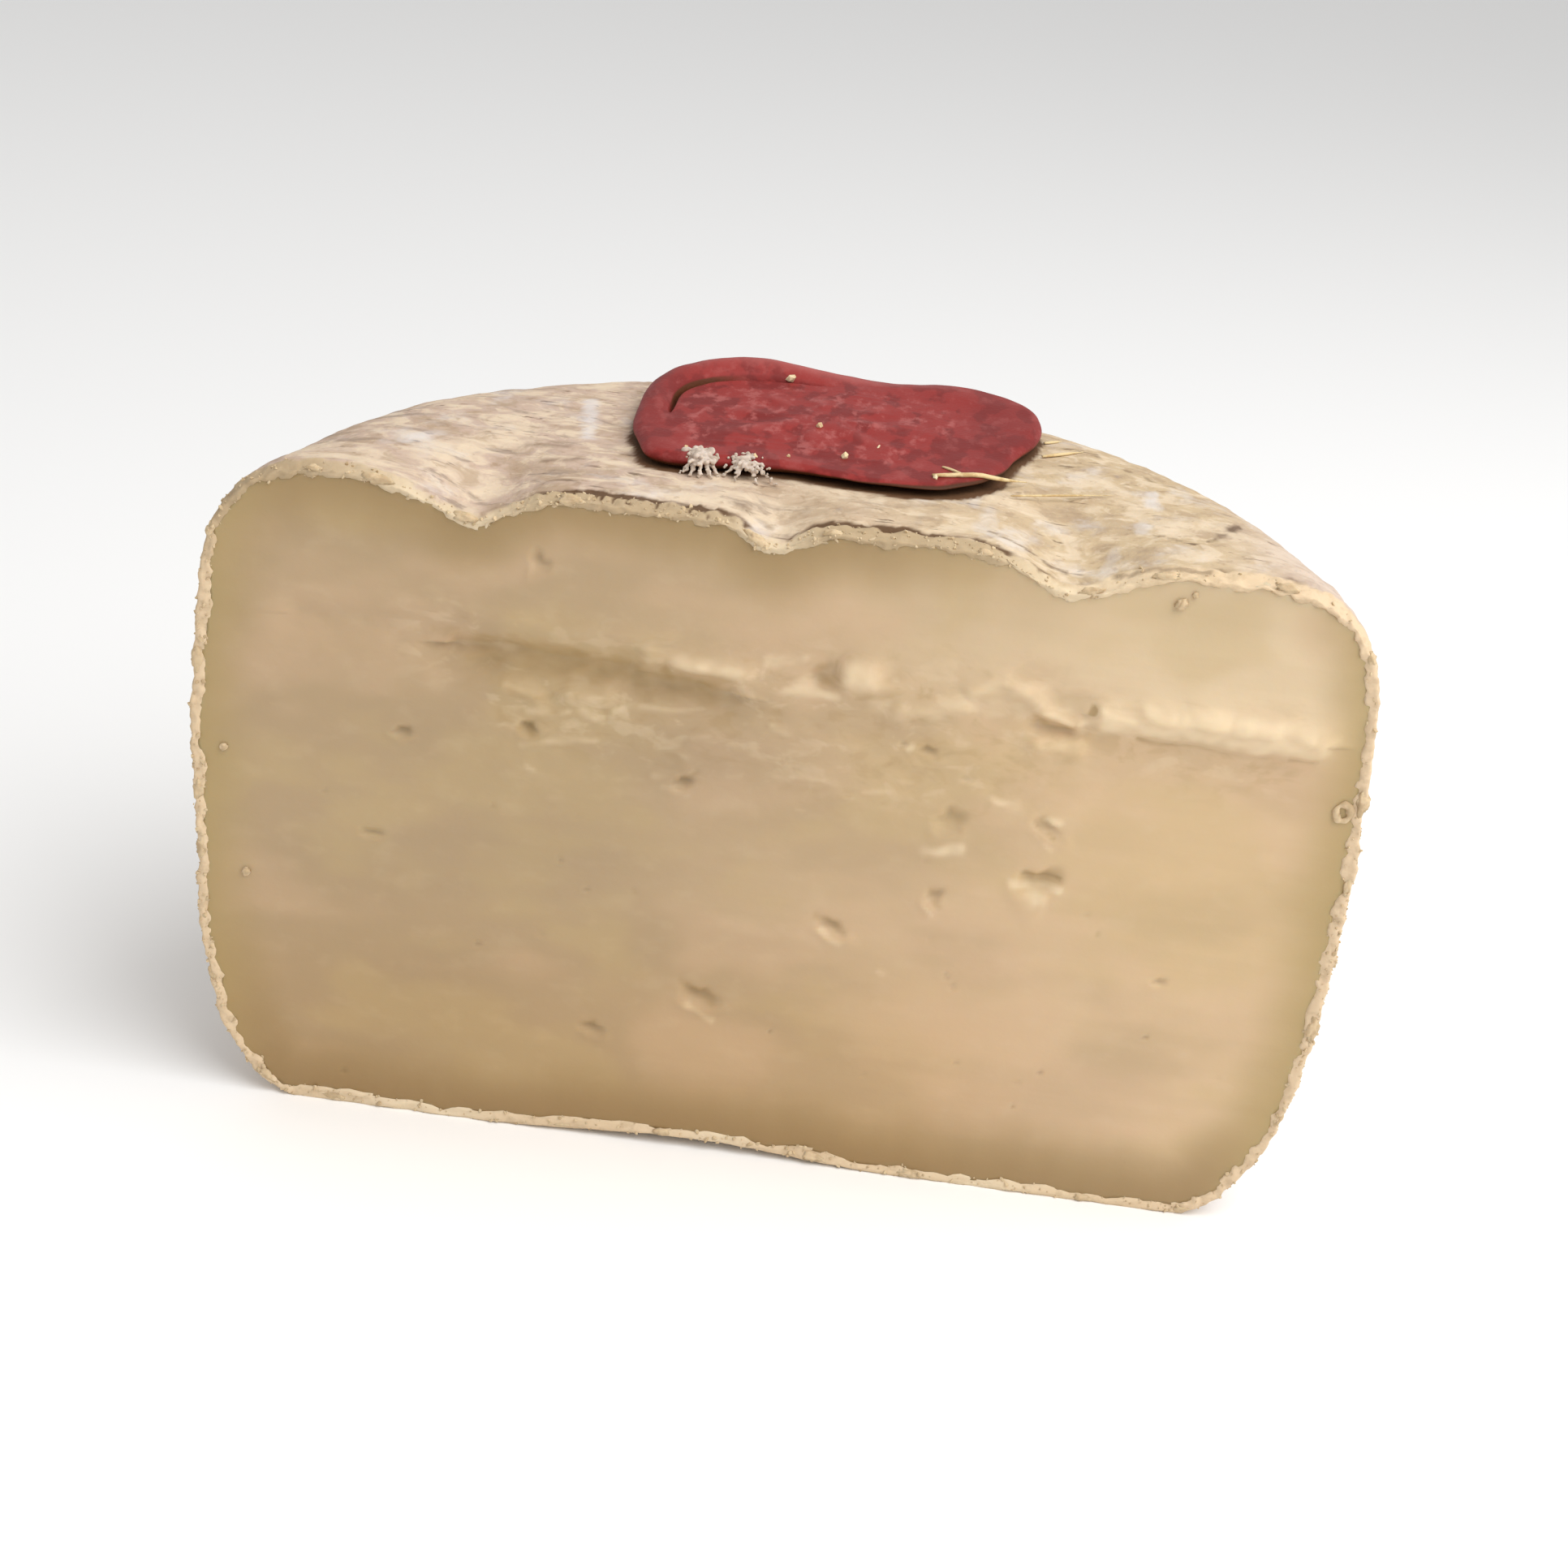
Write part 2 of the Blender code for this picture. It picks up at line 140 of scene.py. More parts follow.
# The wheel's own form, the same as the solid's
wheel = {
    "radius": 80.3,
    "height": 97.8,
    "shoulder": 20.0,  # reach of the rounded top edge, inwards and down
    "fullness": 2.65,  # 2 is a round edge, and more is squarer
    "shoulderArc": 37,  # length of that edge, and of the foot's, for how many points they get
    "footArc": 42,
    "footWidth": 16.0,
    "footHeight": 36.0,
    "bulge": 0.7,
    "cutAhead": 1.5,  # the cut misses the axis by this much
    "lumpHeight": 0.6,
    "lumpSize": 24.0,
    # dents that run back from the cut: place across, depth, half width, length
    "dents": ((-42.5, 3.4, 6.5, 16), (-48.0, 1.2, 11.0, 18), (-2.2, 3.0, 4.8, 10), (37.8, 4.6, 8.2, 18)),
    # the wheel isn't quite round: behind the cut it draws in, by these shares of its radius
    "drawIn": 0.0325,
    "drawInLength": 18.0,
    "flatShare": 0.011,
    "flatPlace": 27,  # degrees from +X
    "flatHalfWidth": 12,
    "archPlace": -6.0,
    "archRise": 1.6,
    "archHalfWidth": 32.0,
    "archLength": 38.0,
    "archFade": 10.0,
    "sealClear": 10.0,
}
topRadius = wheel["radius"] - wheel["shoulder"]
sideTop = wheel["height"] - wheel["shoulder"]
footRadius = wheel["radius"] - wheel["footWidth"]

seal = {
    "place": (2.8, 40.3),
    "halfWidth": 29.0,
    "halfDepth": 24.0,
    "squareness": 2.75,
    "skew": 0.045,
    "waviness": 0.01,
    # where the wax ran out further, or less far: degrees from +X, half width, share of the reach
    "runs": (
        (221, 20, 0.07),
        (227, 9, 0.12),
        (256, 13, -0.07),
        (300, 20, 0.095),
        (346, 18, -0.075),
        (40, 18, 0.05),
        (168, 18, 0.035),
    ),
    "thickness": 2.9,
    # each of these has a place in degrees from +X, a half width in degrees and a size
    "thinning": (290, 75, 0.55),  # share by which the wax is thinner at its front edge
    "swells": ((134, 33, 1.85), (80, 22, -0.6), (47, 21, 0.78)),  # how far the rim rises
    "lift": (-58, 34, 0.9),  # how far the front edge stands off the rind
    # the dark underside is painted shade on the wax's lower wall, over its darker edge
    "undercuts": ((-54, 32, 0.48),),  # how much further up its dark underside shows
    "stainsAndShade": ((-52, 30, 0.9), (225, 16, 0.7)),  # how much further the rind is dark beside it
    "undercut": 0.17,  # how far up that underside shows elsewhere, as a share of the level
    "stainAndShade": 0.3,  # how far out the rind is dark elsewhere
    "discOffset": (-3.2, -1.0),
    "gap": 0.3,
    "rimRise": 0.3,
    "groovePlace": 142,
    "grooveReach": 42,  # degrees each way
    "grooveFade": 14,
    "steps": 300,
}


def wheelDrop(radius):
    # how far the top has fallen at this radius
    part = np.clip((radius - topRadius) / wheel["shoulder"], 0.0, 1.0)
    return wheel["shoulder"] * (1 - (1 - part ** wheel["fullness"]) ** (1 / wheel["fullness"]))


def footRise(radius):
    # how far the underside has risen at this radius
    part = np.clip((radius - footRadius) / wheel["footWidth"], 0.0, 1.0)
    return wheel["footHeight"] * (1 - np.sqrt(1 - part**2))


def sideRadius(height):
    part = np.clip((sideTop - height) / (sideTop - wheel["footHeight"]), 0.0, 1.0)
    return wheel["radius"] + wheel["bulge"] * np.sin(np.pi * part)


def halfOutline(step, baseStep):
    # zone (0 top, 1 side, 2 underside), radius and height, from the middle of the top down to the base
    shoulderSteps = np.linspace(0, math.pi / 2, round(wheel["shoulderArc"] / step) + 1)[1:]
    flat = np.linspace(0, topRadius, round(topRadius / step) + 1)
    shoulder = topRadius + wheel["shoulder"] * np.sin(shoulderSteps) ** (2 / wheel["fullness"])
    sideSteps = round((sideTop - wheel["footHeight"]) / step)
    heights = np.linspace(sideTop, wheel["footHeight"], sideSteps + 1)[1:]
    turns = np.linspace(0, math.pi / 2, round(wheel["footArc"] / step) + 1)[1:]
    foot = footRadius + wheel["footWidth"] * np.cos(turns)
    base = np.linspace(footRadius, 0, round(footRadius / baseStep) + 1)[1:]
    top = np.concatenate([flat, shoulder])
    side = np.full(len(heights), wheel["radius"])
    beneath = np.concatenate([foot, base])
    zone = np.repeat((0.0, 1.0, 2.0), (len(top), len(side), len(beneath)))
    height = np.concatenate([np.zeros(len(top)), heights, np.zeros(len(beneath))])
    return zone, np.concatenate([top, side, beneath]), height


def fullOutline(step, baseStep):
    # the whole loop, clockwise from the middle of the top as seen from the front
    zone, radius, height = halfOutline(step, baseStep)
    sign = np.ones(len(zone))
    back = slice(len(zone) - 2, 0, -1)
    return {
        "zone": np.concatenate([zone, zone[back]]),
        "radius": np.concatenate([radius, radius[back]]),
        "height": np.concatenate([height, height[back]]),
        "sign": np.concatenate([sign, -sign[back]]),
    }


def wheelRing(loop, depth):
    # the section of the plain wheel at y = depth, and the way out from it
    narrowing = math.sqrt(max(0.0, 1 - (depth / wheel["radius"]) ** 2))
    onSide = loop["zone"] == 1
    onTop = loop["zone"] == 0
    reach = np.where(onSide, sideRadius(loop["height"]), loop["radius"])
    x = loop["sign"] * reach * narrowing
    y = np.where(onSide, depth * reach / wheel["radius"], depth)
    radius = np.hypot(x, y)
    z = np.where(onTop, wheel["height"] - wheelDrop(radius), footRise(radius))
    z = np.where(onSide, loop["height"], z)
    over = np.clip((radius - topRadius) / wheel["shoulder"], 0.0, 1.0)
    rise = np.clip((z - sideTop) / wheel["shoulder"], 0.0, 1.0)
    under = np.clip((radius - footRadius) / wheel["footWidth"], 0.0, 1.0)
    fall = np.clip(1 - z / wheel["footHeight"], 0.0, 1.0)
    power = wheel["fullness"] - 1
    outward = np.where(onTop, over**power, under / wheel["footWidth"])
    upward = np.where(onTop, rise**power, -fall / wheel["footHeight"])
    outward = np.where(onSide, 1.0, outward)
    upward = np.where(onSide, 0.0, upward)
    length = np.maximum(np.hypot(outward, upward), 1e-9)
    outward, upward = outward / length, upward / length
    around = np.maximum(radius, 1e-9)
    normals = np.stack([outward * x / around, outward * y / around, upward], axis=1)
    return np.stack([x, y, z], axis=1), normals


def ringBehind(loop, turn):
    # the section that is reached after this turn, from 0 at the cut to a quarter turn at the back
    reach = wheel["radius"] + wheel["cutAhead"]
    return wheelRing(loop, -wheel["cutAhead"] + reach * math.sin(turn))


def settle(points, normals):
    # dents, arch and low lumps
    x, y, z = points.T
    behind = np.maximum(0.0, y + wheel["cutAhead"])
    dents = 0
    for place, depth, width, length in wheel["dents"]:
        dents = dents + depth * bell(x - place, width) * bell(behind, length)
    topness = smooth((z - sideTop) / wheel["shoulder"])
    arch = wheel["archRise"] * smooth(1 - abs(x - wheel["archPlace"]) / wheel["archHalfWidth"])
    arch = arch * smooth(1 - behind / wheel["archLength"]) * (1 - smooth(z / wheel["archFade"]))
    fromSeal = np.hypot(x - seal["place"][0], y - seal["place"][1]) - seal["halfWidth"]
    bare = np.where(z > wheel["height"] / 2, smooth(fromSeal / wheel["sealClear"]), 1.0)
    lumps = wheel["lumpHeight"] * noiseAt(points, wheel["lumpSize"]) * smooth(z / 12) * bare
    turn = np.degrees(np.arctan2(behind, x))
    drawn = wheel["drawIn"] * smooth(behind / wheel["drawInLength"])
    drawn = drawn + wheel["flatShare"] * bell(turn - wheel["flatPlace"], wheel["flatHalfWidth"])
    moved = points + normals * lumps[:, None]
    moved[:, :2] -= points[:, :2] * drawn[:, None]
    moved[:, 2] += arch - dents * topness
    return moved


# The rind: a shell from its ragged front edge to the back
rindLooks = {
    "step": 0.5,
    "baseStep": 1.8,
    "rings": 102,
    "firstShare": 0.22,  # the first rings are this much closer than the average
    "thickness": 1.65,
    "thicknessChange": (0.65, 0.45),  # in long stretches and in small teeth
    "bandRings": 6,
    "proud": 0.30,  # how far the rind stands ahead of the paste
    "outerProud": 0.35,  # share of that at its outermost line
    "ragged": 0.30,  # unevenness of the line where rind and paste meet
    "cutGrain": 0.42,
    "outerGrain": 0.30,
    "clear": 0.1,  # the shell is this much thicker than the rind
    "tuck": 1.0,  # the shell's inside starts this far behind the cut
    "innerTurns": (80, 62, 46, 32, 20, 10, 4),  # sections of the shell's inside, degrees behind the cut
    "wrinkle": 0.16,
    "grain": 0.07,
    "sideLump": 0.34,
    "edgeCrumble": 0.36,
    "edgeWidth": 1.5,
    "edgeSlope": 0.75,  # how far the top falls from the crease to the cut
    "creaseBehind": 3.0,
    "creaseBow": 2.2,  # it comes this much nearer to the cut at the dents
    "creaseHalfWidth": 0.65,
    "creaseDepth": 0.55,
    # stretches of the crease: middle, half width, strength
    "creaseStretches": ((-21, 15, 1.0), (12, 12, 0.95), (28, 7, 0.6), (61, 7, 0.4)),
}
# Dark and white marks on the rind, one dark one a painted shade beside the middle dent: from, to, half width,
# strength
darkMarksAndShade = (
    ((55.6, 12.0), (57.6, 15.4), 0.80, 0.9),
    ((58.6, 17.6), (60.0, 20.2), 1.00, 1.0),
    ((-41.0, 19.5), (-33.5, 20.4), 0.55, 0.6),
    ((-36.5, 14.0), (-31.0, 14.6), 0.45, 0.6),
    ((25.8, 6.6), (34.6, 3.9), 0.35, 0.8),
    ((34.2, 3.8), (36.6, 3.2), 0.80, 0.9),
    ((43.0, 0.5), (55.0, 0.4), 0.60, 0.6),
    # painted shade beside the middle dent
    ((-8.5, 4.8), (-3.8, 2.2), 0.90, 0.4),
    ((47.9, 37.8), (48.6, 37.0), 0.60, 0.7),
    ((45.0, 41.0), (45.4, 40.2), 0.50, 0.6),
    ((39.4, 45.6), (41.0, 46.0), 0.40, 0.7),
    ((49.0, 12.6), (51.4, 11.2), 0.40, 0.6),
)
whiteMarks = (
    ((-34.5, 43.0), (-31.6, 25.0), 1.5, 1.0),
    ((48.3, 30.0), (48.3, 25.0), 1.7, 1.0),
    ((46.6, 17.0), (46.6, 14.0), 1.6, 0.7),
    ((23.4, 19.5), (23.4, 16.0), 1.5, 0.6),
    ((43.0, 8.0), (41.0, -1.0), 1.4, 0.5),
    ((26.0, 15.0), (25.0, 6.0), 1.6, 0.5),
    ((-58.0, 12.0), (-52.0, 20.0), 1.5, 0.6),
    ((12.0, 68.0), (20.0, 71.0), 1.6, 0.6),
)


def rindThickness(points):
    long, short = rindLooks["thicknessChange"]
    return rindLooks["thickness"] + long * noiseAt(points, 5.0, 3.7, 2) + short * noiseAt(points, 1.7, 5.1)


def creasePlace(points):
    # the dark crease wanders behind the cut edge, and comes to it at the dents
    line = points * (1, 0, 1)
    dents = np.max([bell(points[:, 0] - dent[0], 5.0) for dent in wheel["dents"]], axis=0)
    wander = 0.8 * noiseAt(line, 14.0, 8.1) + 0.5 * noiseAt(line, 3.0, 2.2)
    return rindLooks["creaseBehind"] - rindLooks["creaseBow"] * dents + wander


def creaseStrength(points):
    x, y, z = points.T
    top = smooth((z - sideTop - 8) / 9)
    stretches = []
    for middle, reach, share in rindLooks["creaseStretches"]:
        stretches.append(share * smooth((reach + 3 - abs(x - middle)) / 6))
    broken = 0.45 + 0.55 * smooth((noiseAt(points * (1, 0, 0), 4.0, 5.3, 2) + 0.35) / 0.45)
    away = y + wheel["cutAhead"] - creasePlace(points)
    fibres = smooth(noiseAt(points * (1, 0.25, 0.25), 0.7, 3.1) * 2.4) * bell(away + 1.3, 1.4)
    fibres = fibres * smooth((4 - x) / 8) * 0.65
    line = bell(away + 0.8 * noiseAt(points, 1.7, 4.1, 2), rindLooks["creaseHalfWidth"])
    return top * np.max(stretches, axis=0) * broken * np.maximum(line, fibres)


def edgeZone(points):
    # the crumbly strip between the cut edge and the crease
    x, y, z = points.T
    behind = y + wheel["cutAhead"]
    top = smooth((z - sideTop - 6) / 8)
    width = rindLooks["edgeWidth"] * (1 - top) + (creasePlace(points) - 0.3) * top
    ragged = width + 0.5 * noiseAt(points, 1.6, 6.9, 2)
    return 1 - smooth((behind - ragged) / 0.8 + 0.5)


def rindRelief(points):
    # fine height of the rind: wrinkles along the cut on top, lumps on the side, crumble at the cut edge
    x, y, z = points.T
    top = smooth((z - sideTop - 6) / 12)
    low = smooth((z - 1.0) / 3.0)
    wrinkles = noiseAt(points, (12.0, 4.5, 3.0), 1.3, 2)
    relief = -rindLooks["wrinkle"] * (1 - abs(wrinkles) * 2.2) * top
    relief += rindLooks["sideLump"] * noiseAt(points, 6.5, 4.4, 3) * (1 - 0.6 * top)
    relief += rindLooks["grain"] * noiseAt(points, 1.6, 9.4, 2)
    relief += rindLooks["edgeCrumble"] * noiseAt(points, 1.5, 6.6, 2) * edgeZone(points)
    relief -= rindLooks["creaseDepth"] * creaseStrength(points)
    nearCut = 1 - smooth((y + wheel["cutAhead"]) / creasePlace(points))
    relief -= rindLooks["edgeSlope"] * nearCut * top
    return relief * low


def markStrength(points, marks):
    x, y, z = points.T
    strength = np.zeros(len(x))
    ragged = 0.55 * noiseAt(points, (1.8, 2.6, 2.0), 5.5, 3)
    for start, end, width, share in marks:
        offX, offY = nearLine(x, y, start, end)
        stroke = smooth((bell(np.hypot(offX, offY), width) + ragged - 0.30) / 0.65)
        strength = np.maximum(strength, share * stroke)
    return strength * (z > wheel["height"] / 2)


def turnBetween(angle, degrees):
    turn = np.degrees(angle) - degrees
    return (turn + 180) % 360 - 180


def roundSeal(angle, bumps, start=0.0):
    # adds up bumps round the seal, each with a place, a half width and a size
    total = start
    for place, width, size in bumps:
        total = total + size * bell(turnBetween(angle, place), width)
    return total


def sealOutline(angle):
    across = abs(np.cos(angle)) / seal["halfWidth"]
    along = abs(np.sin(angle)) / seal["halfDepth"]
    power = seal["squareness"]
    oval = (across**power + along**power) ** (-1 / power)
    runs = roundSeal(angle, seal["runs"])
    waves = seal["waviness"] * np.sin(3 * angle + 0.6)
    return oval * (1 + seal["skew"] * np.sin(2 * angle) + waves + runs)


def sealStainAndShade(points):
    # painted shade and a dark stain on the rind where the seal's edge shades it
    x, y, z = points.T
    dx, dy = x - seal["place"][0], y - seal["place"][1]
    angle = np.arctan2(dy, dx)
    ragged = np.hypot(dx, dy) - sealOutline(angle) + 0.5 * noiseAt(points, 2.2, 4.9, 2)
    width = roundSeal(angle, seal["stainsAndShade"], seal["stainAndShade"])
    return (1 - smooth((ragged - width) / 0.7 + 0.5)) * (z > wheel["height"] / 2)


def makeRind(material):
    look = rindLooks
    loop = fullOutline(look["step"], look["baseStep"])
    share = np.linspace(0, 1, look["rings"] + 1)
    first = look["firstShare"]
    turns = (share * first + share**2 * (1 - first)) * math.pi / 2
    ahead = wheel["cutAhead"]
    rings = []
    for turn in turns:
        plain, normals = ringBehind(loop, turn)
        settled = settle(plain, normals)
        rings.append(settled + normals * rindRelief(settled)[:, None])
    outer = rings[0]
    plain, normals = ringBehind(loop, 0)
    thickness = rindThickness(plain)
    inside = (thickness + look["clear"])[:, None]
    flatOuter = settle(plain, normals)
    band = []
    for i in range(look["bandRings"], 0, -1):
        part = i / look["bandRings"]
        inset = flatOuter + (outer - flatOuter) * (1 - part) - normals * (thickness * part)[:, None]
        ragged = inset + normals * (look["ragged"] * part * noiseAt(inset, 1.1, 7.7, 2))[:, None]
        ragged[:, 1] = -ahead - look["proud"] * (1 - part**3) - look["cutGrain"] * noiseAt(inset, 1.3, 5.9, 2)
        band.append(ragged)
    tucked = flatOuter - normals * inside
    tucked[:, 1] = -ahead + look["tuck"]
    outerGrain = look["outerGrain"] * noiseAt(outer, 1.2, 5.9, 2)
    outer[:, 1] = -ahead - look["outerProud"] * look["proud"] - outerGrain
    inner = []
    for turn in np.radians(look["innerTurns"]):
        plain, normals = ringBehind(loop, turn)
        inner.append(settle(plain, normals) - normals * inside)
    everyRing = inner + [tucked] + band + rings
    count = len(loop["zone"])
    points = np.vstack(everyRing)
    faces = [list(face) for face in gridFaces(len(everyRing), count, wrap=True)]
    middle = len(points)
    points = np.vstack([points, inner[0].mean(axis=0)])
    faces += [[(i + 1) % count, i, middle] for i in range(count)]
    crease = creaseStrength(points)
    cut = edgeZone(points)
    start = len(inner) * count
    crease[: start + (1 + len(band)) * count] = 0
    cut[:start] = 0
    # few crumbs lie on the right shoulder
    right, high = smooth((points[:, 0] - 38) / 12), smooth((points[:, 2] - 62) / 10)
    values = {
        "crease": crease,
        "cut": cut,
        "crumbs": cut**2 * (1 - 0.8 * right * high),
        "stainAndShade": sealStainAndShade(points),
        "dent": np.max([bell(points[:, 0] - dent[0], dent[2]) for dent in wheel["dents"]], axis=0),
        "dark": markStrength(points, darkMarksAndShade),
        "white": markStrength(points, whiteMarks),
    }
    return makePiece("cheese_rind", points, faces, material, values), flatOuter


# The paste: a dense front that carries the tear and the eyes, and a hidden back inside the rind
pasteLooks = {
    "columnStep": 0.42,
    "rowStep": 0.50,
    "tearRowStep": 0.32,
    "tearRows": (59.0, 84.0),  # rows are closer between these heights
    "halfWidth": 80.0,
    "middle": 49.0,
    "halfHeight": 48.5,
    "intoRind": 0.4,
    "waves": 0.12,
    "streaks": 0.006,
    "crumble": 0.13,
    "grain": 0.012,
    "markDepth": 0.22,  # of a mark whose tone is 1
    "shake": 0.9,
    "unevenMarks": 0.5,
    "eyeDepth": 0.65,  # share of the depth that the eyes have in the solid
    "borders": {"side": 9.0, "under": 9.0, "over": 12.0},
    "rimFade": 2.5,  # the relief fades out this far from the rind
    "hiddenTurns": (2, 8, 18, 32, 48, 64, 80),  # sections of the hidden back, degrees behind the cut
}

# Folds of the tear: from, to, half width, height (a hollow is negative), lean (above 0 steeper above)
tearFolds = (
    ((-66, 76), (-46, 75.2), 3.0, -0.8, 0.2),
    ((-44, 74.2), (-20, 73.6), 3.6, -2.0, 0.5),
    ((-20, 73.2), (-7, 71.8), 2.7, -1.6, 0.4),
    ((-42, 79.0), (-16, 78.8), 1.8, 0.5, 0.0),
    ((-17.5, 76.6), (-4.5, 75.2), 1.8, 0.9, -0.1),
    ((-28, 69.6), (-23.6, 69.8), 2.1, 0.9, 0.0),
    ((-37.4, 69.2), (-33, 68.2), 1.4, 0.7, 0.0),
    ((5.4, 76.0), (7.0, 77.4), 1.3, -1.1, 0.0),
    ((10.2, 76.8), (12.2, 77.2), 2.6, 1.5, 0.0),
    ((17, 72.4), (25, 75.4), 1.8, 0.7, 0.0),
    ((26.4, 77.2), (30.6, 79.0), 1.6, 0.9, 0.0),
    ((30.6, 79.0), (34.4, 77.6), 1.6, 1.0, 0.0),
    ((34.4, 77.6), (37, 74.8), 1.5, 1.0, 0.0),
    ((37, 74.8), (40.2, 74.2), 1.4, 0.9, 0.0),
    ((36, 73.4), (39.4, 73.0), 1.4, -1.1, 0.0),
    ((36.4, 70.6), (41, 70.8), 1.7, 1.0, 0.0),
    ((44.4, 76.0), (57, 76.4), 2.3, 1.3, -0.15),
    ((57, 76.4), (73, 75.8), 2.6, 1.5, -0.2),
)
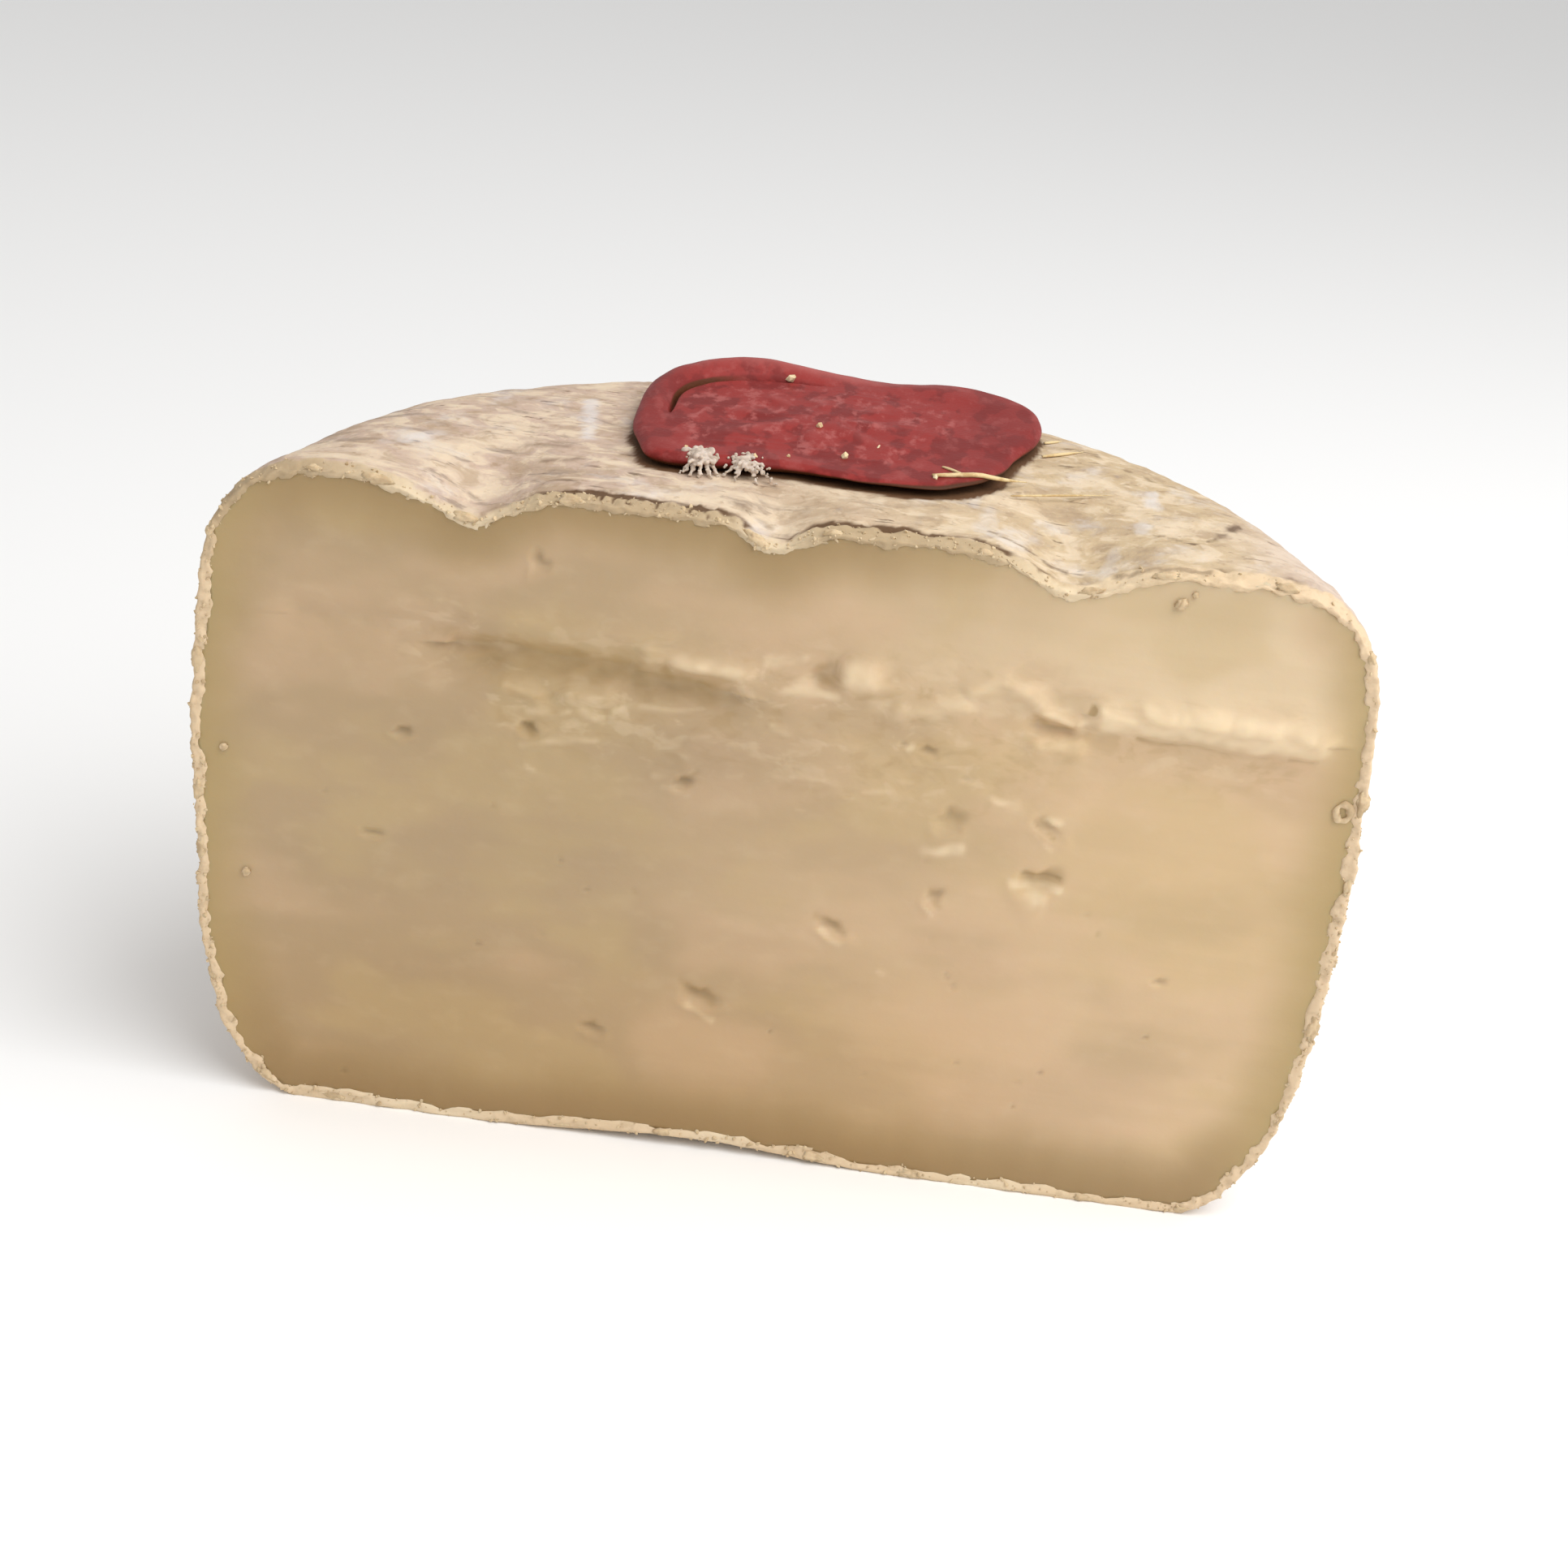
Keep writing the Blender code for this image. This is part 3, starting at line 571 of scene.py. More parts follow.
# Low ridges and hollows, finer than the folds, coloured with painted shade in the hollows and
# painted highlight on the ridges over a tone of their own: from, to, half width,
# tone (above 0 a dark hollow, below 0 a pale ridge)
tearMarks = (
    ((-40, 73.2), (-22, 73.2), 3.6, 0.75),
    ((-38, 71.0), (-12, 70.8), 1.6, 0.45),
    ((-24, 72.4), (-9, 71.8), 2.4, 0.65),
    ((-27.8, 74.8), (-25.6, 74.0), 1.5, 0.95),
    ((-14.8, 74.6), (-14.4, 73.2), 0.9, 1.0),
    ((-10.6, 72.4), (-9.4, 72.2), 1.0, 0.95),
    ((-34.4, 63.4), (-32.6, 62.6), 1.1, 0.75),
    ((-37.4, 65.2), (-35.6, 64.8), 1.3, 0.6),
    ((-23.6, 68.0), (-23.2, 66.8), 0.7, 0.6),
    ((-1.9, 70.2), (0.6, 70.5), 1.0, 0.45),
    ((-13.0, 58.0), (-11.4, 58.6), 0.9, 0.45),
    ((-11.0, 59.2), (-9.6, 60.6), 0.6, 0.40),
    ((6.0, 75.8), (7.4, 76.0), 0.9, 0.70),
    ((1.0, 75.7), (5.0, 75.8), 0.7, 0.35),
    ((7.5, 75.6), (7.8, 79.0), 0.6, 0.60),
    ((5.4, 77.4), (7.4, 78.4), 1.0, 0.45),
    ((7.9, 79.6), (8.6, 80.4), 0.5, 0.35),
    ((15.4, 77.4), (16.6, 78.0), 1.2, 0.40),
    ((20.8, 67.2), (21.6, 66.6), 1.1, 0.55),
    ((35.4, 74.8), (37.2, 72.8), 0.7, 0.45),
    ((37.2, 72.9), (40.4, 73.2), 0.6, 0.45),
    ((36.6, 77.2), (39.6, 77.8), 1.5, 0.35),
    ((42.5, 75.7), (42.8, 76.7), 0.65, 1.10),
    ((46.4, 77.8), (48.8, 77.4), 0.7, 0.35),
    ((49.0, 73.3), (53.6, 72.9), 0.50, 0.80),
    ((53.6, 72.9), (62.0, 72.7), 0.45, 0.55),
    ((62.0, 72.7), (69.8, 72.9), 0.45, 0.50),
    ((69.8, 72.9), (73.0, 73.2), 0.50, 0.80),
    ((2.0, 59.4), (8.0, 60.2), 0.9, 0.30),
    ((17.0, 58.8), (21.0, 59.6), 0.7, 0.25),
    ((-31, 59.6), (-29, 59.8), 1.2, 0.25),
    ((36.8, 51.2), (41.4, 50.8), 0.6, 0.85),
    ((37.2, 59.4), (39.6, 57.2), 0.5, 0.60),
    ((8.6, 40.4), (13.4, 38.2), 0.8, 0.45),
    ((-9.2, 27.4), (-4.6, 24.6), 0.9, 0.55),
    ((23.4, 46.6), (25.6, 44.4), 0.7, 0.35),
    ((-17.4, 40.8), (-17.0, 40.4), 0.7, 0.40),
    ((48.2, 43.4), (48.5, 43.1), 0.6, 0.40),
    ((-19.0, 75.8), (-16.0, 75.8), 1.1, -0.50),
    ((-13.4, 76.2), (-5.4, 75.7), 1.4, -0.60),
    ((-5.2, 75.4), (-4.6, 73.6), 0.8, -0.45),
    ((-37.6, 69.3), (-33.4, 68.5), 0.8, -0.50),
    ((-26.8, 70.2), (-24.4, 69.7), 1.6, -0.55),
    ((-31.0, 70.2), (-29.6, 69.6), 1.2, -0.30),
    ((-26.6, 67.6), (-25.0, 67.2), 1.4, -0.60),
    ((-33.8, 66.2), (-31.4, 66.4), 1.0, -0.45),
    ((-29.6, 66.4), (-29.0, 66.8), 0.6, -0.50),
    ((-22.0, 67.8), (-12.0, 69.2), 0.8, -0.45),
    ((-31.4, 61.8), (-24.0, 63.0), 0.7, -0.45),
    ((-34.2, 60.9), (-31.4, 61.5), 0.8, -0.40),
    ((-33.4, 57.6), (-32.6, 57.4), 0.7, -0.40),
    ((-29.8, 59.8), (-28.8, 60.0), 0.7, -0.35),
    ((-14.0, 57.0), (-11.0, 56.6), 0.8, -0.35),
    ((0.2, 68.2), (1.6, 67.8), 0.9, -0.50),
    ((-1.4, 78.0), (2.8, 78.8), 0.9, -0.55),
    ((1.4, 73.8), (7.8, 74.3), 1.0, -0.60),
    ((10.2, 77.4), (11.6, 77.2), 2.2, -0.70),
    ((13.9, 73.6), (14.6, 73.2), 1.2, -0.50),
    ((16.4, 72.3), (18.0, 71.7), 1.2, -0.45),
    ((17.6, 72.6), (25.6, 75.0), 1.9, -0.40),
    ((18.6, 67.6), (19.2, 67.9), 0.8, -0.55),
    ((26.6, 77.2), (29.6, 78.9), 1.2, -0.30),
    ((29.6, 78.9), (33.4, 78.4), 1.2, -0.35),
    ((33.4, 78.4), (36.4, 75.3), 0.9, -0.40),
    ((36.4, 75.4), (40.0, 74.3), 0.7, -0.70),
    ((36.4, 70.8), (41.2, 71.2), 1.3, -0.35),
    ((38.6, 79.0), (41.0, 79.4), 0.7, -0.35),
    ((41.4, 74.4), (43.4, 75.2), 0.6, -0.60),
    ((44.2, 76.8), (49.0, 75.4), 0.9, -0.75),
    ((50.4, 77.4), (52.6, 76.8), 1.4, -0.75),
    ((55.4, 77.6), (60.0, 77.4), 1.5, -0.95),
    ((62.0, 77.3), (71.4, 77.0), 1.5, -0.90),
    ((44.6, 75.2), (73.4, 74.3), 1.5, -0.75),
    ((73.0, 75.6), (75.6, 77.0), 0.9, -0.45),
    ((3.0, 60.9), (7.4, 61.6), 0.6, -0.35),
    ((13.8, 60.2), (16.6, 60.4), 0.6, -0.40),
    ((31.2, 61.7), (34.2, 60.6), 0.8, -0.50),
    ((39.2, 60.0), (40.2, 59.6), 0.8, -0.75),
    ((37.6, 57.2), (39.6, 55.4), 0.6, -0.45),
    ((22.8, 52.8), (27.6, 53.6), 1.1, -0.70),
    ((18.2, 33.2), (18.8, 32.8), 0.6, -0.45),
    ((35.4, 49.4), (41.4, 49.4), 0.9, -0.75),
    ((38.6, 47.8), (39.0, 47.0), 1.1, -0.80),
    ((9.4, 38.2), (12.6, 36.3), 0.7, -0.50),
    ((-8.2, 23.4), (-4.8, 22.0), 0.8, -0.50),
    ((22.8, 44.6), (24.6, 42.8), 0.6, -0.35),
)
# Broad patches where the paste is lighter or darker, the last a painted shade under the rind's edge: across,
# up, half width, half height, share
tonePatches = (
    (-10, 63, 15, 6, -0.13),
    (-23, 46, 14, 12, -0.08),
    (60, 52, 12, 16, 0.07),
    (35, 62, 9, 8, 0.07),
    (57, 91, 10, 5, -0.06),
)
# Where the paste is torn and crumbly and not cut smooth: height, how far that waves, half height,
# left end and its fade, right end and its fade, share
tornBands = (
    (74.5, 1.5, 6.0, -58, 14, 70, 6, 1.0),
    (65.0, 0.0, 7.0, -44, 8, 30, 16, 0.7),
)
# Eyes: across, up, width, height, depth, turn in degrees, points of a star or 0 for an oval
eyes = (
    (38.6, 49.4, 5.8, 5.2, 2.0, 30, 3),
    (25.6, 57.4, 4.2, 4.4, 1.5, 20, 0),
    (39.2, 58.2, 4.4, 2.4, 1.3, -35, 0),
    (-6.6, 25.0, 5.8, 3.3, 1.7, -28, 0),
    (11.0, 38.8, 5.4, 2.5, 1.4, -30, 0),
    (24.7, 45.6, 3.6, 2.1, 1.2, 45, 0),
    (-11.8, 58.0, 3.0, 2.2, 1.4, 25, 0),
    (-33.4, 87.4, 3.2, 3.0, 1.2, 0, 3),
    (-33.6, 63.2, 3.0, 2.2, 1.5, -20, 0),
    (-51.2, 60.4, 3.4, 1.8, 1.3, 0, 0),
    (-21.6, 17.6, 4.2, 2.1, 1.3, -10, 0),
    (-55.0, 44.4, 3.0, 1.6, 1.1, 0, 0),
    (57.6, 37.0, 2.0, 1.6, 1.1, 0, 0),
    (21.6, 67.4, 2.4, 2.1, 1.3, 0, 0),
)
smallEyes = {
    "width": (0.8, 1.6),
    "depth": (0.25, 0.55),
    "seed": 21,
    "places": (
        (-62, 50), (-38, 51), (-26, 51), (-28, 44), (-24, 40), (-30, 32), (-39, 29), (-47, 22), (18, 16),
        (31, 20), (43, 20), (40, 18), (40, 14), (29, 32), (57, 28), (68, 23), (58, 37), (46, 46), (16, 59),
        (23, 51), (4, 21), (-58, 5), (18, 68), (27, 64), (25, 39), (28, 33.5),
    ),
}
# Short slanting marks strewn by a seeded rule below the great tear, each a painted shade with a painted
# highlight on the pale lip under it
strewnTears = {
    "count": 24,
    "seed": 5,
    "across": (-36, 43, 20),  # lowest, highest and likeliest
    "up": (52, 72, 62),
    "length": (0.8, 3.6),
    "halfWidth": (0.5, 0.95),
    "tone": (0.12, 0.34),
    "lip": 0.9,
    "slopes": (16, -34),  # degrees at the left end and at the right end
    "slopeChange": 16,
}


def foldHeights(x, z, folds):
    # the highest fold and the deepest at each place
    highest = np.zeros(len(x))
    deepest = np.zeros(len(x))
    for start, end, width, height, lean in folds:
        offX, offZ = nearLine(x, z, start, end)
        side = np.where(offZ > 0, 1 - lean, 1 + lean)
        fold = height * bell(np.hypot(offX, offZ), width * side)
        highest = np.maximum(highest, fold)
        deepest = np.minimum(deepest, fold)
    return highest, deepest


def strewnMarks():
    look = strewnTears
    draw = random.Random(look["seed"])
    low, high = look["across"][:2]
    marks = []
    left, right = look["slopes"]
    for _ in range(look["count"]):
        x = draw.triangular(*look["across"])
        z = draw.triangular(*look["up"])
        length = draw.uniform(*look["length"])
        width = draw.uniform(*look["halfWidth"])
        slope = left + (right - left) * (x - low) / (high - low)
        slope = math.radians(slope + draw.uniform(-1, 1) * look["slopeChange"])
        tone = draw.uniform(*look["tone"])
        end = (x + length * math.cos(slope), z + length * math.sin(slope))
        below = 1.7 * width
        marks.append(((x, z), end, width, tone))
        # the pale lip under each mark is a painted highlight
        marks.append(((x, z - below), (end[0], end[1] - below), width, -tone * look["lip"]))
    return tuple(marks)


def everyEye():
    draw = random.Random(smallEyes["seed"])
    every = list(eyes)
    for across, up in smallEyes["places"]:
        width = draw.uniform(*smallEyes["width"])
        flatness = draw.uniform(0.55, 0.95)
        depth = draw.uniform(*smallEyes["depth"])
        every.append((across, up, width, width * flatness, depth, draw.uniform(-40, 40), 0))
    return every


def eyeDepths(x, z):
    # depth of the eyes, deep at the top and sloping out at the foot, the painted shade in their upper part,
    # and a lip below
    depths = np.zeros(len(x))
    paintedShades = np.zeros(len(x))
    lips = np.zeros(len(x))
    for across, up, width, height, depth, turn, points in everyEye():
        near = np.flatnonzero((abs(x - across) < 2 * width) & (abs(z - up) < 2 * width))
        turned = math.radians(turn)
        dx, dz = x[near] - across, z[near] - up
        u = dx * math.cos(turned) + dz * math.sin(turned)
        v = dz * math.cos(turned) - dx * math.sin(turned)
        angle = np.arctan2(v, u)
        star = 1 + 0.22 * np.cos(points * angle) if points else 1.0
        uneven = 1 + 0.16 * np.sin(2 * angle + across) + 0.10 * np.sin(5 * angle + up)
        reach = np.hypot(u / width * 2, v / height * 2) / (star * uneven)
        bowl = smooth((1.35 - reach) / 1.15)
        level = dz / height
        depths[near] = np.maximum(depths[near], depth * bowl * smooth((level + 0.55) / 0.90))
        # painted shade under the steep top of each eye
        shade = bowl * smooth((level + 0.15) / 0.50) * min(1.0, depth / 2.0)
        paintedShades[near] = np.maximum(paintedShades[near], shade)
        below = bell(reach - 1.2, 0.4) * smooth(0.2 - 2 * level)
        lips[near] = np.maximum(lips[near], 0.04 * width * below)
    return depths, paintedShades, lips


def tearPatch(x, z):
    torn = 0
    for up, wave, tall, left, leftFade, right, rightFade, share in tornBands:
        band = bell(z - (up + wave * np.sin(x / 13)), tall) * smooth((x - left) / leftFade)
        torn = torn + share * (band * (1 - smooth((x - right) / rightFade)))
    return np.clip(torn, 0.0, 1.0)


def pasteRelief(x, z):
    flat = np.stack([x, np.zeros(len(x)), z], axis=1)
    patch = tearPatch(x, z)
    highest, deepest = foldHeights(x, z, tearFolds)
    uneven = 1 + 0.30 * noiseAt(flat, (5.0, 1.0, 2.8), 2.9, 2)
    folds = (highest + deepest) * uneven
    # the marks are shaken so that none keeps a straight side
    shakenX = x + pasteLooks["shake"] * noiseAt(flat, 4.6, 4.4, 2)
    shakenZ = z + pasteLooks["shake"] * 0.7 * noiseAt(flat, 4.6, 8.8, 2)
    marks = [(start, end, width, tone, 0.0) for start, end, width, tone in tearMarks + strewnMarks()]
    darkest, palest = foldHeights(shakenX, shakenZ, marks)
    # painted shade and highlight of the marks, over their own tone
    tintAndPaintedLight = (darkest + palest) * (1 + pasteLooks["unevenMarks"] * noiseAt(flat, (2.6, 1.0, 2.0), 6.6, 2))
    depths, paintedShades, lips = eyeDepths(x, z)
    relief = folds - pasteLooks["markDepth"] * tintAndPaintedLight + lips - depths * pasteLooks["eyeDepth"]
    relief += pasteLooks["crumble"] * patch * noiseAt(flat, (3.6, 1.0, 2.2), 6.1, 3)
    relief += pasteLooks["waves"] * noiseAt(flat, (30.0, 1.0, 14.0))
    relief += pasteLooks["streaks"] * noiseAt(flat, (34.0, 1.0, 1.3), 3.3)
    relief += pasteLooks["grain"] * noiseAt(flat, 1.3, 1.9, 2)
    tone = 0
    for across, up, wide, tall, share in tonePatches:
        tone = tone + share * bell(x - across, wide) * bell(z - up, tall)
    return relief, {"patch": patch, "eyePaintedShade": paintedShades, "tintAndPaintedLight": tintAndPaintedLight, "fold": folds, "tone": tone}


def borderTone(x, z, fromRind):
    # the paste darkens towards the rind, most above the base and under the top, where painted shade is added
    # to its own darker rim
    widths = pasteLooks["borders"]
    under = smooth((z - 60) / 25)
    over = smooth((30 - z) / 20)
    width = widths["side"] + (widths["under"] - widths["side"]) * under
    width = width + (widths["over"] - widths["side"]) * over
    flat = np.stack([x, np.zeros(len(x)), z], axis=1)
    wander = 1 + 0.25 * noiseAt(flat, 18.0, 7.4, 2)
    middle = smooth((78 - abs(x)) / 12)
    faded = 1 - 0.85 * smooth((x - 2) / 40) * under * middle
    near = (1 - smooth(fromRind / (width * wander))) * faded
    # painted shade under the top's rind and above the base
    brown = near * np.maximum(under * 0.75, over) * middle
    return near, brown


def rowHeights():
    low, high = pasteLooks["tearRows"]
    bottom = pasteLooks["middle"] - pasteLooks["halfHeight"]
    top = pasteLooks["middle"] + pasteLooks["halfHeight"]
    below = np.linspace(bottom, low, round((low - bottom) / pasteLooks["rowStep"]) + 1)[:-1]
    torn = np.linspace(low, high, round((high - low) / pasteLooks["tearRowStep"]) + 1)[:-1]
    above = np.linspace(high, top, round((top - high) / pasteLooks["rowStep"]) + 1)
    return np.concatenate([below, torn, above])


def makePaste(material, flatOuter):
    loop = fullOutline(rindLooks["step"], rindLooks["baseStep"])
    ahead = wheel["cutAhead"]
    plain, normals = ringBehind(loop, 0)
    inset = rindThickness(plain) - pasteLooks["intoRind"]
    edge = flatOuter - normals * inset[:, None]
    middle = pasteLooks["middle"]
    angles = np.unwrap(np.arctan2(edge[:, 2] - middle, edge[:, 0]))
    columns = np.linspace(-1, 1, round(2 * pasteLooks["halfWidth"] / pasteLooks["columnStep"]) + 1)
    rows = (rowHeights() - middle) / pasteLooks["halfHeight"]
    u, v = np.meshgrid(columns, rows)
    u, v = u.ravel(), v.ravel()
    reach = np.maximum(np.maximum(abs(u), abs(v)), 1e-9)
    flatX, flatZ = u * pasteLooks["halfWidth"], v * pasteLooks["halfHeight"]
    direction = np.arctan2(flatZ, flatX)

    def placeOnEdge(angle):
        # how many points round the edge this direction is
        start = angles[0]
        fallen = (start - angle) % (2 * math.pi)
        around = np.concatenate([angles, angles[:1] - 2 * math.pi])
        return np.interp(fallen, start - around, np.arange(len(edge) + 1))

    def along(points, place):
        first = np.floor(place).astype(int) % len(points)
        part = (place - np.floor(place))[:, None]
        return points[first] * (1 - part) + points[(first + 1) % len(points)] * part

    onEdge = along(edge, placeOnEdge(direction))
    outline = np.hypot(onEdge[:, 0], onEdge[:, 2] - middle)
    rectangle = np.hypot(flatX, flatZ) / reach
    stretch = 1 + (outline / rectangle - 1) * reach**4
    x, z = flatX * stretch, middle + flatZ * stretch
    relief, values = pasteRelief(x, z)
    tree = kdtree.KDTree(len(edge))
    for i, point in enumerate(edge):
        tree.insert(Vector((point[0], 0, point[2])), i)
    tree.balance()
    fromRind = np.array([tree.find(Vector((px, 0, pz)))[2] for px, pz in zip(x, z)])
    relief = relief * smooth(fromRind / pasteLooks["rimFade"])
    values["border"], values["brown"] = borderTone(x, z, fromRind)
    front = np.stack([x, -ahead - relief, z], axis=1)
    height, width = len(rows), len(columns)
    index = np.arange(height * width).reshape(height, width)
    rim = np.concatenate([index[0, :-1], index[:-1, -1], index[-1, :0:-1], index[:0:-1, 0]])
    rimPlaces = placeOnEdge(direction[rim])
    faces = [list(face) for face in gridFaces(height, width)]
    points = [front]
    previous = rim
    total = len(front)
    for turn in np.radians(pasteLooks["hiddenTurns"]):
        ring, ringNormals = ringBehind(loop, turn)
        hidden = along(settle(ring, ringNormals) - ringNormals * inset[:, None], rimPlaces)
        following = np.arange(total, total + len(rim))
        points.append(hidden)
        for i in range(len(rim)):
            j = (i + 1) % len(rim)
            faces.append([previous[j], previous[i], following[i], following[j]])
        previous = following
        total += len(rim)
    points.append(points[-1].mean(axis=0)[None])
    faces += [[previous[(i + 1) % len(rim)], previous[i], total] for i in range(len(rim))]
    extra = total + 1 - len(front)
    values = {name: np.concatenate([numbers, np.zeros(extra)]) for name, numbers in values.items()}
    piece = makePiece("cheese_paste", np.vstack(points), faces, material, values)
    dress(piece, "cheese_half")


sealLooks = {
    "discRings": 60,
    "discShare": 0.67,
    "discLevel": 0.86,
    "petals": 8,
    "petalRelief": 0.30,
    "petalPlace": (0.34, 0.15),  # middle and half length, as shares of the reach
    "petalLeast": 0.3,  # what is left of a petal where the seal is most worn
    "ringPlaces": (0.48, 0.56, 0.63),
    "ringRelief": 0.05,
    "ringHalfWidth": 0.022,
    "stipple": 0.06,
    "rimWaves": 0.25,
    "grooveShares": (0.68, 0.775),
    "swellStart": 0.66,  # the rim rises from this share of the reach
    "swellReach": 0.22,
    "crestHighlight": (0.90, 0.07, 104, 42),  # the painted highlight along the rim's crest: share of the reach, half width, degrees, half width
    # the groove's dark colour is painted shade in its bottom
    "darkGroove": (160, 28),  # where the groove is darkest: degrees, half width
    # the poured edge from the disc outwards and round to the underside: share of the reach, level
    "rim": (
        (0.67, 0.86), (0.705, 0.86), (0.722, 0.80), (0.740, 0.15), (0.758, 0.78), (0.780, 0.90), (0.84, 0.95),
        (0.89, 1.0), (0.94, 0.93), (0.985, 0.70), (1.0, 0.42), (0.985, 0.15), (0.955, 0.0),
    ),
    "under": ((0.90, 0.0), (0.80, 0.0), (0.64, 0.0), (0.32, 0.0), (0.0, 0.0)),
}


def makeSeal(material):
    look = sealLooks
    flatLevel = look["discLevel"]
    disc = [(share, flatLevel) for share in np.linspace(0, look["discShare"], look["discRings"])]
    profile = np.array(disc[:-1] + smoothLine(look["rim"], 2).tolist() + list(look["under"]))
    angles = np.arange(seal["steps"]) / seal["steps"] * 2 * math.pi
    part, angle = np.meshgrid(profile[:, 0], angles, indexing="ij")
    level = np.repeat(profile[:, 1], seal["steps"])
    part, angle = part.ravel(), angle.ravel()
    isUnder = np.repeat(np.arange(len(profile)) >= len(profile) - len(look["under"]), seal["steps"])
    # the groove shows at the back left alone
    awayFromGroove = abs(turnBetween(angle, seal["groovePlace"]))
    grooved = smooth((seal["grooveReach"] + seal["grooveFade"] - awayFromGroove) / seal["grooveFade"])
    first, last = look["grooveShares"]
    inGroove = smooth((part - first) / 0.02) * (1 - smooth((part - last) / 0.05))
    height = level + (flatLevel - level) * inGroove * (1 - grooved)
    height = np.minimum(height, flatLevel + (height - flatLevel) * (0.2 + 0.8 * grooved))
    height = np.where(isUnder, level, height)
    swell = seal["rimRise"] + roundSeal(angle, seal["swells"])
    place, halfLength = look["petalPlace"]
    petals = look["petalRelief"] * np.cos(look["petals"] * angle) * bell(part - place, halfLength)
    upper = smooth(height / 0.4)
    centred = 1 - smooth((part - 0.66) / 0.34)
    reach = part * sealOutline(angle)
    x = seal["place"][0] + reach * np.cos(angle) + seal["discOffset"][0] * centred * upper
    y = seal["place"][1] + reach * np.sin(angle) + seal["discOffset"][1] * centred * upper
    flat = np.stack([x, y, np.zeros(len(x))], axis=1)
    onDisc = 1 - smooth((part - 0.64) / 0.06)
    worn = smooth((noiseAt(flat, (5.0, 7.0, 5.0), 2.6, 2) + 0.30) / 0.5)
    wander = 0.012 * noiseAt(flat, 6.0, 1.6)
    rings = 0
    for place in look["ringPlaces"]:
        rings = rings + bell(part + wander - place, look["ringHalfWidth"])
    rings = rings * look["ringRelief"]
    stipple = look["stipple"] * noiseAt(flat, (1.6, 2.2, 1.6), 7.2, 2)
    waves = look["rimWaves"] * noiseAt(flat, 7.0, 5.5, 2)
    lift = roundSeal(angle, [seal["lift"]]) * smooth((part - 0.72) / 0.2) * (1 - upper)
    swell = swell * smooth((part - look["swellStart"]) / look["swellReach"])
    least = look["petalLeast"]
    raised = (swell + petals * (least + (1 - least) * worn)) * upper
    stamped = (rings * worn + stipple * (0.25 + 0.75 * onDisc) + waves) * upper
    under = seal["gap"] - wheelDrop(np.hypot(x, y) / (1 - wheel["drawIn"])) * (1 - upper) + lift
    thin = roundSeal(angle, [seal["thinning"]]) * smooth(part / 0.9)
    z = wheel["height"] + under + seal["thickness"] * height * (1 - thin) + raised + stamped
    faces = gridFaces(len(profile), seal["steps"], wrap=True)
    undercut = roundSeal(angle, seal["undercuts"], seal["undercut"])
    darkGroove = smooth((part - 0.706) / 0.014) * (1 - smooth((part - 0.758) / 0.012))
    groovePlace, grooveWidth = look["darkGroove"]
    crestHighlight, crestWidth, crestPlace, crestLength = look["crestHighlight"]
    values = {
        "groove": darkGroove * bell(turnBetween(angle, groovePlace), grooveWidth) * upper,
        "raised": np.maximum(0, rings * worn + petals * 0.4) * onDisc,
        "darkSkirtAndShade": (part > 0.9) * (1 - smooth((level - undercut) / 0.14)),
        "disc": onDisc,
        "crestHighlight": bell(part - crestHighlight, crestWidth) * bell(turnBetween(angle, crestPlace), crestLength),
        "leftEnd": smooth((-17 - x) / 7),
        "rightEnd": smooth((x - 18) / 8),
    }
    piece = makePiece("wax_seal_poured", np.stack([x, y, z], axis=1), faces, material, values)
    dress(piece, "wax_seal")
    return piece


def topOf(piece):
    # gives the height of a piece's surface at a place, in millimetres
    tree = bvhtree.BVHTree.FromObject(piece, bpy.context.evaluated_depsgraph_get())

    def heightAt(x, y):
        above = (Vector((x, y, 200)) + wheelAxis) * millimetre
        hit = tree.ray_cast(above, Vector((0, 0, -1)))[0]
        return hit.z / millimetre if hit else wheel["height"]

    return heightAt


def setInput(tree, socket, value):
    # a socket is joined, and anything else is set as it is
    if isinstance(value, bpy.types.NodeSocket):
        tree.links.new(value, socket)
    else:
        socket.default_value = value


def addNode(tree, kind, inputs, **settings):
    node = tree.nodes.new(kind)
    for name, value in settings.items():
        setattr(node, name, value)
    for name, value in inputs.items():
        setInput(tree, node.inputs[name], value)
    return node


def newTree(name, inputs):
    # a geometry tree with a mesh socket and named inputs: label, kind and value
    tree = bpy.data.node_groups.new(name, "GeometryNodeTree")
    tree.interface.new_socket("Geometry", in_out="INPUT", socket_type="NodeSocketGeometry")
    for label, kind in inputs.items():
        tree.interface.new_socket(label, in_out="INPUT", socket_type="NodeSocket" + kind)
    tree.interface.new_socket("Geometry", in_out="OUTPUT", socket_type="NodeSocketGeometry")
    return tree, tree.nodes.new("NodeGroupInput").outputs, tree.nodes.new("NodeGroupOutput").inputs


def grow(name, carrier, tree, values):
    # runs a tree on a piece, keeps what it makes as a mesh of its own and leaves the piece as it was
    modifier = carrier.modifiers.new("grow", "NODES")
    modifier.node_group = tree
    for item in tree.interface.items_tree:
        if item.in_out == "INPUT" and item.name in values:
            modifier[item.identifier] = values[item.name]
    depsgraph = bpy.context.evaluated_depsgraph_get()
    mesh = bpy.data.meshes.new_from_object(carrier.evaluated_get(depsgraph), depsgraph=depsgraph)
    carrier.modifiers.remove(modifier)
    return addObject(name, mesh)


